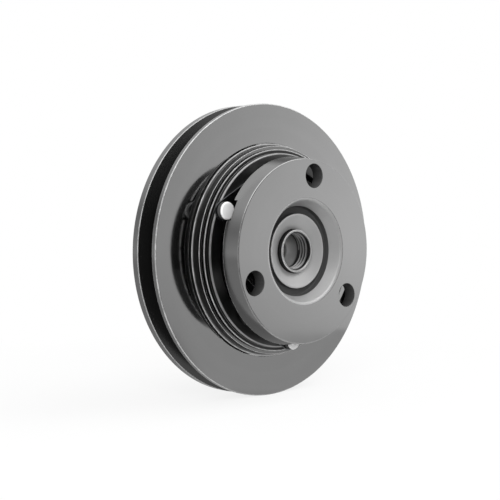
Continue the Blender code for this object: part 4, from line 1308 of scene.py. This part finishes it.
def make_floor():
    """A round pale floor, which fades to white away from the object and keeps its shadow."""
    floor = new_object("floor", bpy.data.meshes.new("floor"))
    built = bmesh.new()
    bmesh.ops.create_circle(built, cap_ends=True, radius=FLOOR_RADIUS, segments=SMALL_STEPS)
    built.to_mesh(floor.data)
    built.free()
    floor.location.z = CAD_LOW.z
    nodes, shader = new_material("floor_white")
    shader.inputs["Base Color"].default_value = grey(FLOOR_LEVEL)
    shader.inputs["Roughness"].default_value = FLOOR_ROUGHNESS
    path = nodes.add("LightPath").outputs
    place = object_place(nodes)
    distance = nodes.vector_math("LENGTH", place)["Value"]
    seen = nodes.math("MAXIMUM", path["Is Camera Ray"], path["Is Transmission Ray"])
    seen = nodes.times(seen, nodes.ramp(distance, *FLOOR_SEEN))
    surface = nodes.mix_shader(seen, shader.outputs[0], nodes.white("Emission"))
    # Painted light and shade: the metal sees the floor as a glow, bright in the open and dark in its shade
    mirrored = nodes.white("Emission", floor_mirrored(nodes, place))
    surface = nodes.mix_shader(path["Is Glossy Ray"], surface, mirrored)
    nodes.link(surface, nodes.tree.nodes["Material Output"], "Surface")
    floor.data.materials.append(FINISHES["floor_white"])


def make_world():
    """The studio that lights the part and shows in its metal; the camera itself sees white."""
    world = bpy.data.worlds.new("studio")
    bpy.context.scene.world = world
    world.use_nodes = True
    nodes = Nodes(world.node_tree)
    background = world.node_tree.nodes["Background"]
    direction = nodes.add("TexCoord").outputs["Generated"]
    height = nodes.along("Z", direction)
    dim = nodes.times(nodes.ramp(height, *UPPER), nodes.ramp(height, *LOWER))
    level = nodes.times(studio_level(nodes, direction), dim)
    behind = fall_off(nodes, direction, *BEHIND)
    ceiling = nodes.times(behind, nodes.ramp(height, *CEILING))
    level = nodes.mix(ceiling, level, grey(CEILING_LEVEL))
    in_front = nodes.math("SUBTRACT", 1.0, behind)
    soft_box = nodes.times(in_front, nodes.ramp(height, *SOFT_BOX))
    level = nodes.mix(soft_box, level, grey(SOFT_BOX_LEVEL))
    level = nodes.mix(nodes.ramp(height, *GROUND), level, grey(GROUND_LEVEL))
    nodes.link(level, background, "Color")
    path = nodes.add("LightPath").outputs
    seen = nodes.math("MAXIMUM", path["Is Camera Ray"], path["Is Transmission Ray"])
    surface = nodes.mix_shader(seen, background.outputs[0], nodes.white("Background"))
    nodes.link(surface, world.node_tree.nodes["World Output"], "Surface")


def add_lamp(name, azimuth, elevation, power):
    """A soft round lamp; the metal mirrors the studio's walls instead of it."""
    lamp = bpy.data.lights.new(name, "AREA")
    lamp.shape = "DISK"
    lamp.size = LAMP_SIZE
    lamp.energy = power
    holder = new_object(name, lamp)
    back = outward(azimuth, elevation)
    holder.location = back * LAMP_DISTANCE
    holder.rotation_euler = back.to_track_quat("Z", "Y").to_euler()
    holder.visible_glossy = False


def make_camera():
    """The camera at the photograph's angle, aimed a little to one side of the axis."""
    camera = bpy.data.cameras.new("camera")
    camera.lens = LENS
    holder = new_object("camera", camera)
    back = outward(CAMERA_AZIMUTH, CAMERA_ELEVATION)
    right = Vector((cos(CAMERA_AZIMUTH), sin(CAMERA_AZIMUTH), 0))
    holder.location = Vector((0, FACE_Y, 0)) + right * CAMERA_ASIDE + back * CAMERA_DISTANCE
    holder.rotation_euler = back.to_track_quat("Z", "Y").to_euler()
    bpy.context.scene.camera = holder


make_floor()
make_world()
add_lamp("key", *KEY_LAMP)
add_lamp("fill", *FILL_LAMP)
make_camera()
bpy.context.scene.view_settings.view_transform = "Standard"
